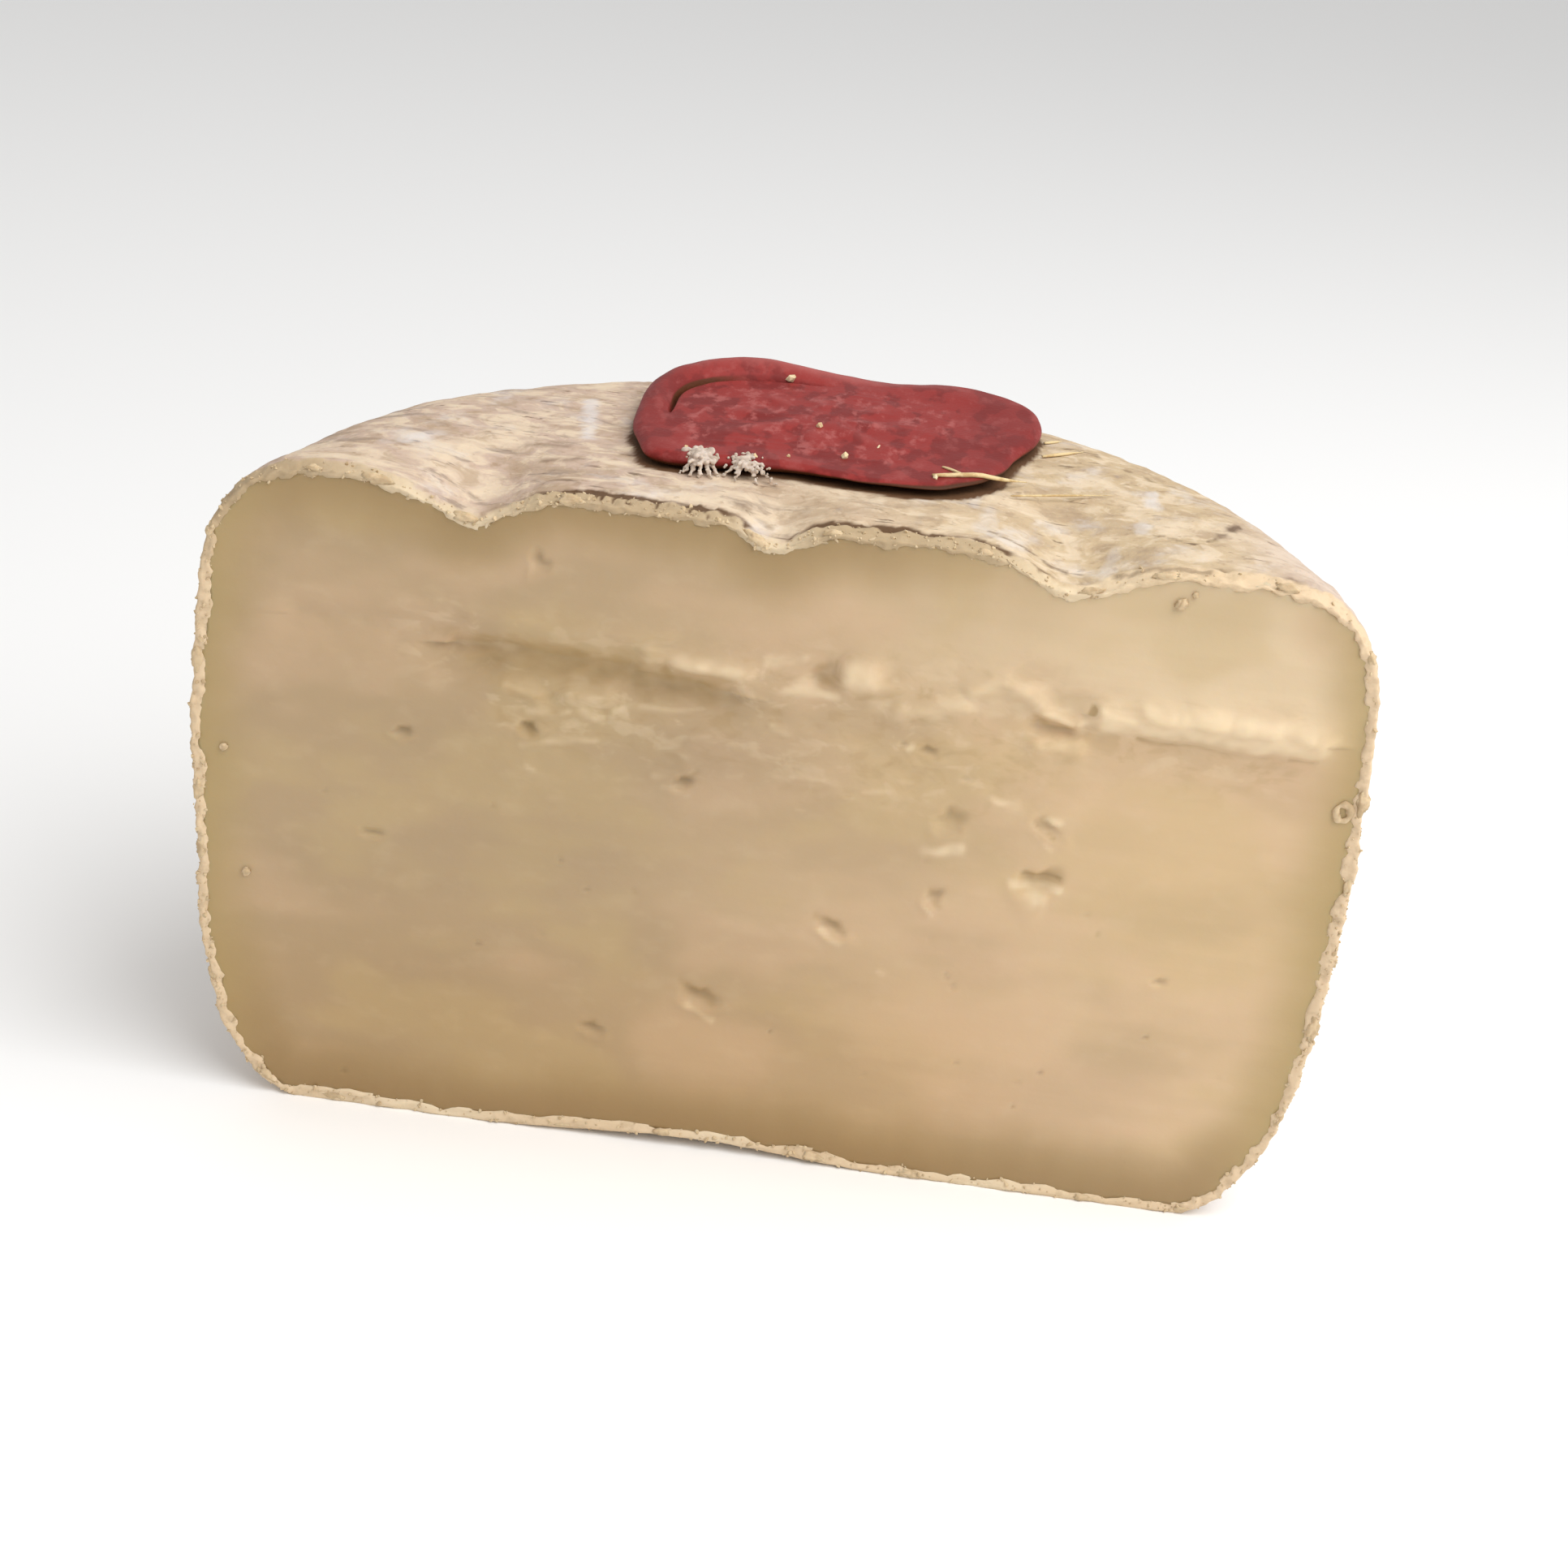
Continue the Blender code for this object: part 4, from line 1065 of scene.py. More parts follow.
def growOnPoints(name, places, sizes, tree, values):
    # the same on loose points, each with the half width of what grows there
    mesh = bpy.data.meshes.new("places")
    mesh.from_pydata(inFrame(places), [], [])
    storeValues(mesh, {"size": np.asarray(sizes, np.float32) * millimetre})
    carrier = addObject("places", mesh)
    piece = grow(name, carrier, tree, values)
    bpy.data.objects.remove(carrier)
    dress(piece)


def storedNumber(tree, name):
    return addNode(tree, "GeometryNodeInputNamedAttribute", {"Name": name}, data_type="FLOAT").outputs[0]


# Crumbs of rind, scattered where the rind is cut
crumbLooks = {
    "density": 0.85,  # on each square millimetre of the cut rind
    "smallest": 0.12,  # half the width
    "largest": 0.38,
    "flatness": 0.7,
    "roughness": 0.34,
    "grain": 0.55,  # size of the lumps that make it rough
    "lowest": 0.12,
    "seed": 11,
}


def randomVector(tree, low, high, seed):
    inputs = {"Min": low, "Max": high, "Seed": seed}
    return addNode(tree, "FunctionNodeRandomValue", inputs, data_type="FLOAT_VECTOR").outputs["Value"]


def roughGrains(tree, points, size, material, look):
    # small angular lumps of uneven size on points, none below the base
    ball = addNode(tree, "GeometryNodeMeshIcoSphere", {"Radius": 1.0, "Subdivisions": 1})
    shape = randomVector(tree, (1.0, look["flatness"], look["flatness"]), (1.5, 1.1, 1.0), look["seed"])
    scaled = addNode(tree, "ShaderNodeVectorMath", {0: shape, "Scale": size}, operation="SCALE")
    turned = randomVector(tree, (0, 0, 0), (math.tau, math.tau, math.tau), look["seed"] + 1)
    inputs = {"Points": points, "Instance": ball.outputs["Mesh"], "Rotation": turned}
    placed = addNode(tree, "GeometryNodeInstanceOnPoints", {**inputs, "Scale": scaled.outputs[0]})
    solid = addNode(tree, "GeometryNodeRealizeInstances", {"Geometry": placed.outputs["Instances"]})
    rough = addNode(tree, "ShaderNodeTexNoise", {"Scale": 1 / (look["grain"] * millimetre), "Detail": 1.0})
    inputs = {0: rough.outputs["Color"], 1: (0.5, 0.5, 0.5)}
    centred = addNode(tree, "ShaderNodeVectorMath", inputs, operation="SUBTRACT")
    inputs = {0: centred.outputs[0], "Scale": look["roughness"] * millimetre * 2}
    moved = addNode(tree, "ShaderNodeVectorMath", inputs, operation="SCALE")
    inputs = {"Geometry": solid.outputs[0], "Offset": moved.outputs[0]}
    shaken = addNode(tree, "GeometryNodeSetPosition", inputs)
    place = tree.nodes.new("GeometryNodeInputPosition").outputs[0]
    floor = (-1.0, -1.0, look["lowest"] * millimetre)
    kept = addNode(tree, "ShaderNodeVectorMath", {0: place, 1: floor}, operation="MAXIMUM")
    inputs = {"Geometry": shaken.outputs[0], "Position": kept.outputs[0]}
    clear = addNode(tree, "GeometryNodeSetPosition", inputs)
    inputs = {"Geometry": clear.outputs[0], "Material": material}
    return addNode(tree, "GeometryNodeSetMaterial", inputs).outputs[0]


def makeCrumbs(rind, material):
    look = crumbLooks
    numbers = {"Density": "Float", "Smallest": "Float", "Largest": "Float", "Seed": "Int"}
    tree, given, result = newTree("crumbs on the cut rind", {**numbers, "Material": "Material"})
    inputs = {0: given["Density"], 1: storedNumber(tree, "crumbs")}
    density = addNode(tree, "ShaderNodeMath", inputs, operation="MULTIPLY")
    inputs = {"Mesh": given["Geometry"], "Density": density.outputs[0], "Seed": given["Seed"]}
    points = addNode(tree, "GeometryNodeDistributePointsOnFaces", inputs).outputs["Points"]
    even = addNode(tree, "FunctionNodeRandomValue", {}, data_type="FLOAT").outputs[1]
    few = addNode(tree, "ShaderNodeMath", {0: even, 1: 3.0}, operation="POWER").outputs[0]
    inputs = {"Value": few, "To Min": given["Smallest"], "To Max": given["Largest"]}
    size = addNode(tree, "ShaderNodeMapRange", inputs).outputs[0]
    tree.links.new(roughGrains(tree, points, size, given["Material"], look), result["Geometry"])
    values = {
        "Density": look["density"] / millimetre**2,
        "Smallest": look["smallest"] * millimetre,
        "Largest": look["largest"] * millimetre,
        "Seed": look["seed"],
        "Material": material,
    }
    piece = grow("rind_crumbs", rind, tree, values)
    dress(piece, "cheese_half")


# Tufts of dry white mould that bridge the front edge of the seal: where each starts on the wax, where its
# legs end on the rind, and how full it is
tuftLooks = {
    "tufts": (
        ((-14.7, 16.4), ((-17.0, 13.4), (-15.8, 12.6), (-14.4, 12.4), (-13.0, 12.8), (-12.0, 13.8)), 1.0),
        ((-8.6, 16.4), ((-11.4, 14.0), (-9.6, 12.8), (-6.4, 12.5), (-3.6, 13.2)), 0.80),
    ),
    "points": 46,  # on each leg
    "body": 170,
    "bodyReach": 0.55,  # the body fills this share of the way to the feet
    "spread": 0.16,
    "bodySpread": 0.75,
    "above": 0.25,
    "bodyAbove": 0.35,
    "fall": 1.6,  # how late a leg bends down
    "size": (0.24, 0.38),
    "bodySize": (0.26, 0.52),
    "grid": 0.11,
    "melting": 5,
    "seed": 3,
}


def makeTufts(sealTop, rindTop, material):
    # threads and a lumpy body of small balls, melted into one crust
    look = tuftLooks
    draw = random.Random(look["seed"])
    places = []
    sizes = []

    def addBall(start, foot, part, spread, above):
        # part of the way from the wax to a foot, shaken a little and clear of what is under it
        x = start[0] + (foot[0] - start[0]) * part + draw.gauss(0, spread)
        y = start[1] + (foot[1] - start[1]) * part + draw.gauss(0, spread)
        z = max(start[2] + (foot[2] - start[2]) * part ** look["fall"], sealTop(x, y), rindTop(x, y))
        places.append((x, y, z + draw.uniform(0.0, above)))

    for start, feet, fullness in look["tufts"]:
        start = (*start, sealTop(*start))
        for foot in feet:
            foot = (*foot, rindTop(*foot))
            for i in range(look["points"]):
                part = (i + draw.random()) / look["points"]
                addBall(start, foot, part, look["spread"], look["above"])
                sizes.append(draw.uniform(*look["size"]) * (1.15 - 0.5 * part) * fullness)
        # the body's balls lean towards any foot, at the height of the last one
        for _ in range(round(look["body"] * fullness)):
            towards = (*draw.choice(feet), foot[2])
            part = draw.uniform(0.0, look["bodyReach"])
            addBall(start, towards, part, look["bodySpread"], look["bodyAbove"])
            sizes.append(draw.uniform(*look["bodySize"]) * fullness * (1 - 0.5 * part))
    tree, given, result = newTree("mould melted together", {"Grid": "Float", "Material": "Material"})
    points = addNode(tree, "GeometryNodeMeshToPoints", {"Mesh": given["Geometry"]}).outputs[0]
    inputs = {"Points": points, "Radius": storedNumber(tree, "size"), "Voxel Size": given["Grid"]}
    cloud = addNode(tree, "GeometryNodePointsToVolume", inputs, resolution_mode="VOXEL_SIZE").outputs[0]
    crust = addNode(tree, "GeometryNodeVolumeToMesh", {"Volume": cloud, "Threshold": 0.1}).outputs[0]
    place = tree.nodes.new("GeometryNodeInputPosition").outputs[0]
    inputs = {"Value": place, "Iterations": look["melting"]}
    evened = addNode(tree, "GeometryNodeBlurAttribute", inputs, data_type="FLOAT_VECTOR").outputs[0]
    melted = addNode(tree, "GeometryNodeSetPosition", {"Geometry": crust, "Position": evened}).outputs[0]
    even = addNode(tree, "GeometryNodeRealizeInstances", {"Geometry": melted}).outputs[0]
    soft = addNode(tree, "GeometryNodeSetShadeSmooth", {"Geometry": even}).outputs[0]
    inputs = {"Geometry": soft, "Material": given["Material"]}
    tree.links.new(addNode(tree, "GeometryNodeSetMaterial", inputs).outputs[0], result["Geometry"])
    values = {"Grid": look["grid"] * millimetre, "Material": material}
    growOnPoints("mould_tufts", places, sizes, tree, values)


# Crumbs of cheese that lie on the wax: across, behind, half width
speckPlaces = ((-6.3, 57.0, 0.75), (0.0, 34.6, 0.55), (4.6, 24.1, 0.65), (-3.0, 20.5, 0.26))
speckPlaces += ((9.0, 30.0, 0.22), (-17.2, 18.4, 0.40), (-7.4, 17.8, 0.42), (17.6, 19.6, 0.40))


def makeSpecks(sealTop, material):
    places = [(x, y, sealTop(x, y) + 0.3 * size) for x, y, size in speckPlaces]
    tree, given, result = newTree("wax_specks", {"Material": "Material"})
    points = addNode(tree, "GeometryNodeMeshToPoints", {"Mesh": given["Geometry"]}).outputs[0]
    grains = roughGrains(tree, points, storedNumber(tree, "size"), given["Material"], crumbLooks)
    tree.links.new(grains, result["Geometry"])
    growOnPoints("wax_specks", places, [place[2] for place in speckPlaces], tree, {"Material": material})


# Straws from the ripening shelf: the places they pass, and half their width
straws = (
    (((17.2, 19.9), (26.6, 23.4), (30.4, 28.0)), 0.50),
    (((18.4, 24.6), (21.8, 21.9)), 0.28),
    (((32.6, 42.2), (38.6, 47.0)), 0.34),
    (((32.8, 49.4), (35.4, 51.4)), 0.30),
    (((28.4, 21.2), (42.6, 27.2)), 0.22),
)
strawSides = 8
strawSteps = 14


def spanned(heights):
    # a stiff stalk touches the highest places and runs straight from one to the next
    steps = np.arange(len(heights))
    highest = heights.copy()
    for i in steps:
        for j in steps[i + 1 :]:
            line = np.interp(steps, (i, j), (heights[i], heights[j]))
            between = (steps >= i) & (steps <= j)
            highest = np.where(between, np.maximum(highest, line), highest)
    return highest


def makeStraws(sealTop, rindTop, material):
    # tapered stalks that lie on the wax and on the rind
    points = []
    faces = []
    for route, halfWidth in straws:
        route = smoothLine(route, 3)
        reach = np.concatenate([[0], np.cumsum(np.linalg.norm(np.diff(route, axis=0), axis=1))])
        share = np.linspace(0, 1, strawSteps)
        x, y = (np.interp(share * reach[-1], reach, route[:, side]) for side in (0, 1))
        under = np.array([max(sealTop(px, py), rindTop(px, py)) for px, py in zip(x, y)])
        z = spanned(under) + 0.5 * halfWidth
        line = np.column_stack([x, y, z])
        along = np.gradient(line, axis=0)
        along /= np.linalg.norm(along, axis=1)[:, None]
        beside = np.cross(along, (0, 0, 1))
        above = np.cross(beside, along)
        start = len(points)
        for i, place in enumerate(line):
            part = i / (len(line) - 1)
            width = halfWidth * (0.25 + 0.75 * math.sin(math.pi * min(1, 0.12 + part)) ** 0.6)
            for side in range(strawSides):
                turn = side / strawSides * math.tau
                points.append(place + width * (math.cos(turn) * beside[i] + 0.7 * math.sin(turn) * above[i]))
        faces += (gridFaces(len(line), strawSides, wrap=True) + start).tolist()
        faces.append(list(range(start, start + strawSides)))
        faces.append(list(range(len(points) - 1, len(points) - strawSides - 1, -1)))
    piece = makePiece("straw_wisps", points, faces, material)
    dress(piece)


# Large flakes of rind round the cut edge, where the solid has them, and a few on the paste
flakeLooks = {
    "count": 30,
    "seed": 7,
    "sizes": (1.4, 2.8),
    "stretch": (1.6, 0.50, 0.62),  # along the edge, out of the cut, across the edge
    "roundness": (0.90, 0.62, 0.76),  # the same for a crumb that lies on the paste
    "inset": 0.6,
    "roughness": 0.35,
    "crumble": 0.42,
    "grain": 1.1,
    "lowest": 0.2,
    "onPaste": ((52.0, 93.0, 1.8), (53.6, 94.4, 1.0), (-76.4, 55.0, 1.4), (-73.0, 36.0, 1.5)),
    # a ring of loosened rind: across, up, its half width and half its thickness
    "curl": (78.0, 66.2, 0.95, 0.44),
}


def curl(across, up, halfWidth, halfThickness, start, steps=26, sides=10):
    # a small uneven ring that stands on the paste
    points = []
    faces = []
    for i in range(steps):
        turn = i / steps * math.tau
        thickness = halfThickness * (1 + 0.30 * math.sin(2 * turn + 0.6) + 0.16 * math.sin(5 * turn))
        for j in range(sides):
            tilt = j / sides * math.tau
            reach = halfWidth * (1 + 0.16 * math.sin(turn + 0.9)) + thickness * math.cos(tilt)
            y = -wheel["cutAhead"] - 0.1 - thickness * math.sin(tilt)
            points.append((across + reach * math.cos(turn), y, up + 1.25 * reach * math.sin(turn)))
            following, beside = (i + 1) % steps, (j + 1) % sides
            corners = (i * sides + j, following * sides + j, following * sides + beside, i * sides + beside)
            faces.append([start + corner for corner in corners])
    return points, faces


def makeFlakes(flatOuter, material):
    look = flakeLooks
    outline = np.vstack([flatOuter, flatOuter[:1]])
    lengths = np.linalg.norm(np.diff(outline, axis=0), axis=1)
    places = np.concatenate([[0], np.cumsum(lengths)])
    draw = random.Random(look["seed"])
    flakes = []
    for i in range(look["count"]):
        reach = places[-1] * (i + draw.uniform(0.1, 0.9)) / look["count"]
        size = draw.uniform(*look["sizes"])
        at = np.searchsorted(places, reach) - 1
        along = Vector(outline[at + 1] - outline[at]).normalized()
        inwards = along.cross(Vector((0, 1, 0)))
        place = Vector(outline[at]) + along * (reach - places[at]) - inwards * look["inset"]
        flakes.append((place, along, inwards, size, look["stretch"]))
    for x, z, size in look["onPaste"]:
        place = Vector((x, -wheel["cutAhead"] - 0.15 * size, z))
        flakes.append((place, Vector((0.8, 0, 0.6)), Vector((-0.6, 0, 0.8)), size, look["roundness"]))
    bm = bmesh.new()
    for place, along, inwards, size, stretch in flakes:
        for vert in bmesh.ops.create_icosphere(bm, subdivisions=3, radius=size / 2)["verts"]:
            rough = 1 + look["roughness"] * noise.noise((vert.co + place) / look["grain"])
            rough += look["crumble"] * noise.fractal((vert.co + place) * 1.9, 1.0, 2.0, 3)
            x, y, z = (vert.co[j] * stretch[j] * rough for j in range(3))
            vert.co = place + along * x + Vector((0, y, 0)) + inwards * z
            vert.co.z = max(vert.co.z, look["lowest"])
    points = [tuple(vert.co) for vert in bm.verts]
    faces = [[vert.index for vert in face.verts] for face in bm.faces]
    bm.free()
    ringPoints, ringFaces = curl(*look["curl"], len(points))
    points += ringPoints
    faces += ringFaces
    piece = makePiece("rind_flakes", points, faces, material)
    dress(piece, "cheese_half")


class Finish:
    # a material built up in layers: each lays one of the look's tones over those below it

    def __init__(self, name, look, base):
        self.look = look
        self.colour = look[base]
        self.material = bpy.data.materials.new(name)
        self.material.use_nodes = True
        self.tree = self.material.node_tree
        self.shader = self.tree.nodes["Principled BSDF"]
        for socket, value in look["shader"].items():
            self.shader.inputs[socket].default_value = value
        self.shader.inputs["Subsurface Scale"].default_value = millimetre
        self.place = addNode(self.tree, "ShaderNodeTexCoord", {}).outputs["Object"]

    def sides(self):
        # how far across and how high a place is, in metres
        parts = addNode(self.tree, "ShaderNodeSeparateXYZ", {"Vector": self.place})
        return parts.outputs["X"], parts.outputs["Z"]

    def noise(self, size, detail=2.0, shift=(0, 0, 0), distortion=0.0, roughness=0.5):
        # clouds that are about size millimetres each way
        scale = tuple(1 / (millimetre * length) for length in size)
        inputs = {"Vector": self.place, "Location": shift, "Scale": scale}
        place = addNode(self.tree, "ShaderNodeMapping", inputs).outputs["Vector"]
        inputs = {"Vector": place, "Scale": 1.0, "Detail": detail}
        inputs.update({"Distortion": distortion, "Roughness": roughness})
        return addNode(self.tree, "ShaderNodeTexNoise", inputs).outputs["Fac"]

    def stored(self, name):
        return addNode(self.tree, "ShaderNodeAttribute", {}, attribute_name=name).outputs["Fac"]

    def remap(self, value, low, high, toLow=0.0, toHigh=1.0):
        inputs = {"Value": value, "From Min": low, "From Max": high, "To Min": toLow, "To Max": toHigh}
        settings = {"interpolation_type": "SMOOTHSTEP", "clamp": True}
        return addNode(self.tree, "ShaderNodeMapRange", inputs, **settings).outputs["Result"]

    def combine(self, operation, first, second):
        return addNode(self.tree, "ShaderNodeMath", {0: first, 1: second}, operation=operation).outputs[0]

    def times(self, first, second):
        return self.combine("MULTIPLY", first, second)

    def mix(self, amount, first, second, kind="MIX"):
        # a tone is a name in the look, a colour or a socket
        first, second = (self.look[tone] if isinstance(tone, str) else tone for tone in (first, second))
        inputs = {0: amount, 6: first, 7: second}
        return addNode(self.tree, "ShaderNodeMix", inputs, data_type="RGBA", blend_type=kind).outputs[2]

    def lay(self, tone, amount, kind="MIX"):
        self.colour = self.mix(amount, self.colour, tone, kind)

    def layWhere(self, tone, value, low, high, share):
        # the tone comes up to its share as the value goes from low to high
        self.lay(tone, self.remap(value, low, high, 0.0, share))

    def layStored(self, tone, name, share):
        self.lay(tone, self.times(self.stored(name), share))

    def finished(self, bumps):
        # joins the colour, and one bump for each pattern and its depth in millimetres
        self.tree.links.new(self.colour, self.shader.inputs["Base Color"])
        normal = {}
        for height, depth in bumps:
            inputs = {"Height": height, "Strength": 1.0, "Distance": depth * millimetre, **normal}
            normal = {"Normal": addNode(self.tree, "ShaderNodeBump", inputs).outputs["Normal"]}
        self.tree.links.new(normal["Normal"], self.shader.inputs["Normal"])
        return self.material


pasteFinish = {
    "cream": (0.608, 0.434, 0.260, 1),
    "shade": (0.395, 0.282, 0.160, 1),
    # painted light on the paste above the tear, most at the right
    "upper": (0.690, 0.535, 0.345, 1),
    "pink": (0.600, 0.415, 0.262, 1),
    "yellow": (0.530, 0.390, 0.190, 1),
    "border": (0.420, 0.300, 0.130, 1),
    # painted shade under the top's rind and above the base
    "brown": (0.300, 0.190, 0.088, 1),
    # a darker tone, also used for painted shade in hollows
    "hollow": (0.385, 0.256, 0.114, 1),
    # a paler tone, used for painted highlight on ridges
    "ridge": (0.750, 0.598, 0.395, 1),
    # painted shade in the eyes
    "pitShade": (0.330, 0.215, 0.095, 1),
    "chalk": (0.700, 0.545, 0.360, 1),
    # painted warm reflection that tints the lower paste
    "foot": (0.960, 0.910, 0.820, 1),  # the lower paste is tinted by this
    "shader": {
        "Roughness": 0.50,
        "Subsurface Weight": 0.35,
        "Subsurface Radius": (2.4, 1.3, 0.6),
        "Specular IOR Level": 0.35,
    },
}


def pasteMaterial():
    paste = Finish("paste", pasteFinish, "cream")
    across, up = paste.sides()
    # painted shade: the left of the face is darker
    paste.layWhere("shade", across, 0.050, -0.045, 0.80)
    clouds = paste.noise((30, 30, 16), 3.0)
    paste.layWhere("shade", clouds, 0.42, 0.68, 0.45)
    # painted light on the paste above the tear, most at the right
    paintedLightAboveTear = paste.remap(up, 0.072, 0.080)
    paste.lay("upper", paste.times(paintedLightAboveTear, paste.remap(across, -0.01, 0.062, 0.03, 0.95)))
    hues = paste.noise((26, 26, 15), 2.0, (5, 3, 8))
    paste.layWhere("pink", hues, 0.50, 0.66, 0.40)
    paste.layWhere("yellow", hues, 0.48, 0.34, 0.35)
    bands = paste.noise((60, 60, 3.4), 3.0, (3, 1, 5))
    paste.layWhere("shade", bands, 0.42, 0.70, 0.09)
    mottle = paste.noise((5.5, 5.5, 3.6), 3.0, (7, 2, 1))
    paste.layWhere("chalk", mottle, 0.50, 0.75, 0.10)
    # the torn paste is flecked pale and dark
    patch = paste.stored("patch")
    flecks = paste.noise((4.6, 4.6, 2.8), 3.0, (11, 4, 6), 0.4)
    for tone, low, high, share in (("chalk", 0.52, 0.68, 0.40), ("hollow", 0.48, 0.32, 0.35)):
        flecked = paste.times(paste.remap(flecks, low, high), patch)
        paste.lay(tone, paste.times(flecked, share))
    # painted shade in the folds' hollows and painted highlight on their tops
    fold = paste.stored("fold")
    paste.layWhere("hollow", fold, -0.5, -2.2, 0.22)
    paste.layWhere("ridge", fold, 0.3, 1.5, 0.25)
    # the marks' tint: painted shade in the hollows and painted highlight on the ridges, over a tone of their
    # own
    tintAndPaintedLight = paste.stored("tintAndPaintedLight")
    paste.layWhere("hollow", tintAndPaintedLight, 0.04, 1.0, 0.78)
    paste.layWhere("ridge", tintAndPaintedLight, -0.04, -1.0, 0.85)
    # the paste's darker rim, with painted shade under the top's rind and above the base
    paste.layStored("border", "border", 0.80)
    paste.layStored("brown", "brown", 0.75)
    # painted shade in the upper part of the eyes
    paste.layStored("pitShade", "eyePaintedShade", 0.60)
    # painted warm reflection on the lower left of the paste
    paintedWarmBounce = paste.times(paste.remap(up, 0.045, 0.012), paste.remap(across, 0.052, 0.018))
    paste.lay("foot", paintedWarmBounce, "MULTIPLY")
    # the broad patches, the last of them painted shade under the rind's edge
    paste.lay(paste.combine("ADD", paste.stored("tone"), 1.0), 1.0, "MULTIPLY")
    grain = paste.noise((1.1, 1.1, 0.8), 3.0, (1, 9, 2))
    knife = paste.noise((34, 34, 1.2), 2.0, (5, 5, 5))
    return paste.finished([(grain, 0.03), (knife, 0.015), (flecks, 0.04)])


rindFinish = {
    "pink": (0.520, 0.385, 0.298, 1),
    "yellow": (0.550, 0.415, 0.255, 1),
    "cream": (0.712, 0.574, 0.412, 1),
    "tan": (0.390, 0.275, 0.175, 1),
    "spot": (0.300, 0.190, 0.110, 1),
    "grey": (0.285, 0.215, 0.165, 1),
    "brown": (0.120, 0.070, 0.040, 1),
    "lilac": (0.520, 0.420, 0.410, 1),
    "mould": (0.680, 0.640, 0.620, 1),
    "edge": (0.700, 0.530, 0.340, 1),
    # painted shade on the top of the cut edge
    "edgeTopShade": (0.440, 0.325, 0.190, 1),
    "edgeShade": (0.450, 0.330, 0.190, 1),
    "edgePale": (0.780, 0.640, 0.440, 1),
    # painted shade in the crease
    "crease": (0.105, 0.052, 0.022, 1),
    "stainAndShade": (0.120, 0.056, 0.024, 1),
    "side": (0.430, 0.325, 0.240, 1),
    "sidePale": (0.560, 0.440, 0.315, 1),
    "shader": {
        "Roughness": 0.82,
        "Subsurface Weight": 0.08,
        "Subsurface Radius": (1.2, 0.7, 0.4),
        "Specular IOR Level": 0.25,
    },
}


def rindMaterial():
    rind = Finish("rind", rindFinish, "pink")
    across, up = rind.sides()
    drift = rind.noise((26, 26, 26), 2.0)
    drifted = rind.combine("ADD", across, rind.remap(drift, 0.2, 0.8, -0.02, 0.02))
    rightness = rind.remap(drifted, -0.025, 0.035)
    topness = rind.remap(up, 0.078, 0.092)
    rind.lay("yellow", rightness)
    # broad patches, blotches and spots, each finer than the last
    patches = rind.noise((13, 12, 9), 3.0, (2, 7, 3), 0.5, 0.55)
    rind.layWhere("cream", patches, 0.50, 0.64, 0.60)
    rind.layWhere("tan", patches, 0.47, 0.33, 0.45)
    blotches = rind.noise((5.6, 4.8, 3.4), 3.0, (4, 1, 6), 0.6, 0.60)
    rind.layWhere("cream", blotches, 0.50, 0.62, 0.70)
    rind.layWhere("tan", blotches, 0.48, 0.34, 0.60)
    # flaky layers that run along the cut, mostly on the left
    streaks = rind.noise((13, 3.0, 2.8), 4.0, (3, 3, 9), 0.5, 0.62)
    streakShare = rind.remap(rightness, 0.0, 1.0, 0.70, 0.15)
    rind.lay("grey", rind.times(rind.remap(streaks, 0.54, 0.66), streakShare))
    rind.lay("cream", rind.times(rind.remap(streaks, 0.46, 0.34), streakShare))
    speckle = rind.noise((2.2, 2.0, 1.4), 3.0, (8, 1, 4), 0.3, 0.60)
    rind.layWhere("spot", speckle, 0.56, 0.72, 0.45)
    rind.layWhere("cream", speckle, 0.44, 0.30, 0.45)
    dashes = rind.noise((5.0, 1.5, 1.4), 3.0, (6, 2, 2), 0.6)
    rare = rind.noise((11, 12, 11), 1.0, (1, 8, 5))
    dash = rind.times(rind.remap(dashes, 0.62, 0.70), rind.remap(rare, 0.46, 0.58))
    rind.lay("brown", rind.times(dash, 0.75))
    # the side is more even than the top
    broad = rind.noise((24, 24, 15), 4.0, (2, 6, 1), 0.0, 0.6)
    sideColour = rind.mix(rind.remap(broad, 0.42, 0.60), "side", "sidePale")
    rind.layWhere(sideColour, topness, 1.0, 0.0, 0.55)
    mould = rind.noise((9, 9, 8), 5.0, (4, 9, 8), 0.2, 0.6)
    rind.layWhere("mould", mould, 0.53, 0.72, 0.45)
    rind.layWhere("lilac", across, 0.054, 0.072, 0.45)
    rind.layStored("mould", "white", 0.60)
    # the cut edge has painted shade on top, but for its right end, and is pale at the dents
    crumbly = rind.noise((1.8, 1.8, 1.6), 4.0, (5, 5, 1))
    onTop = rind.times(topness, rind.remap(across, 0.044, 0.030))
    spots = rind.times(rind.remap(crumbly, 0.50, 0.64, 0.0, 0.75), rind.remap(onTop, 0, 1, 0.45, 1))
    edge = rind.mix(onTop, "edge", "edgeTopShade")
    edge = rind.mix(spots, edge, "edgeShade")
    edge = rind.mix(rind.times(rind.stored("dent"), 0.7), edge, "edgePale")
    rind.layStored(edge, "cut", 0.88)
    # dark marks, one of them painted shade beside the middle dent
    rind.layStored("brown", "dark", 0.85)
    # the dark crease line: painted shade in the crease, with the rind's brown fibres
    rind.layWhere("crease", rind.stored("crease"), 0.08, 0.58, 0.95)
    # painted shade with a stain beside the seal's edge
    rind.lay("stainAndShade", rind.stored("stainAndShade"))
    grain = rind.noise((0.8, 0.8, 0.7), 4.0, (1, 2, 3))
    return rind.finished([(streaks, 0.12), (blotches, 0.16), (speckle, 0.12), (grain, 0.08)])


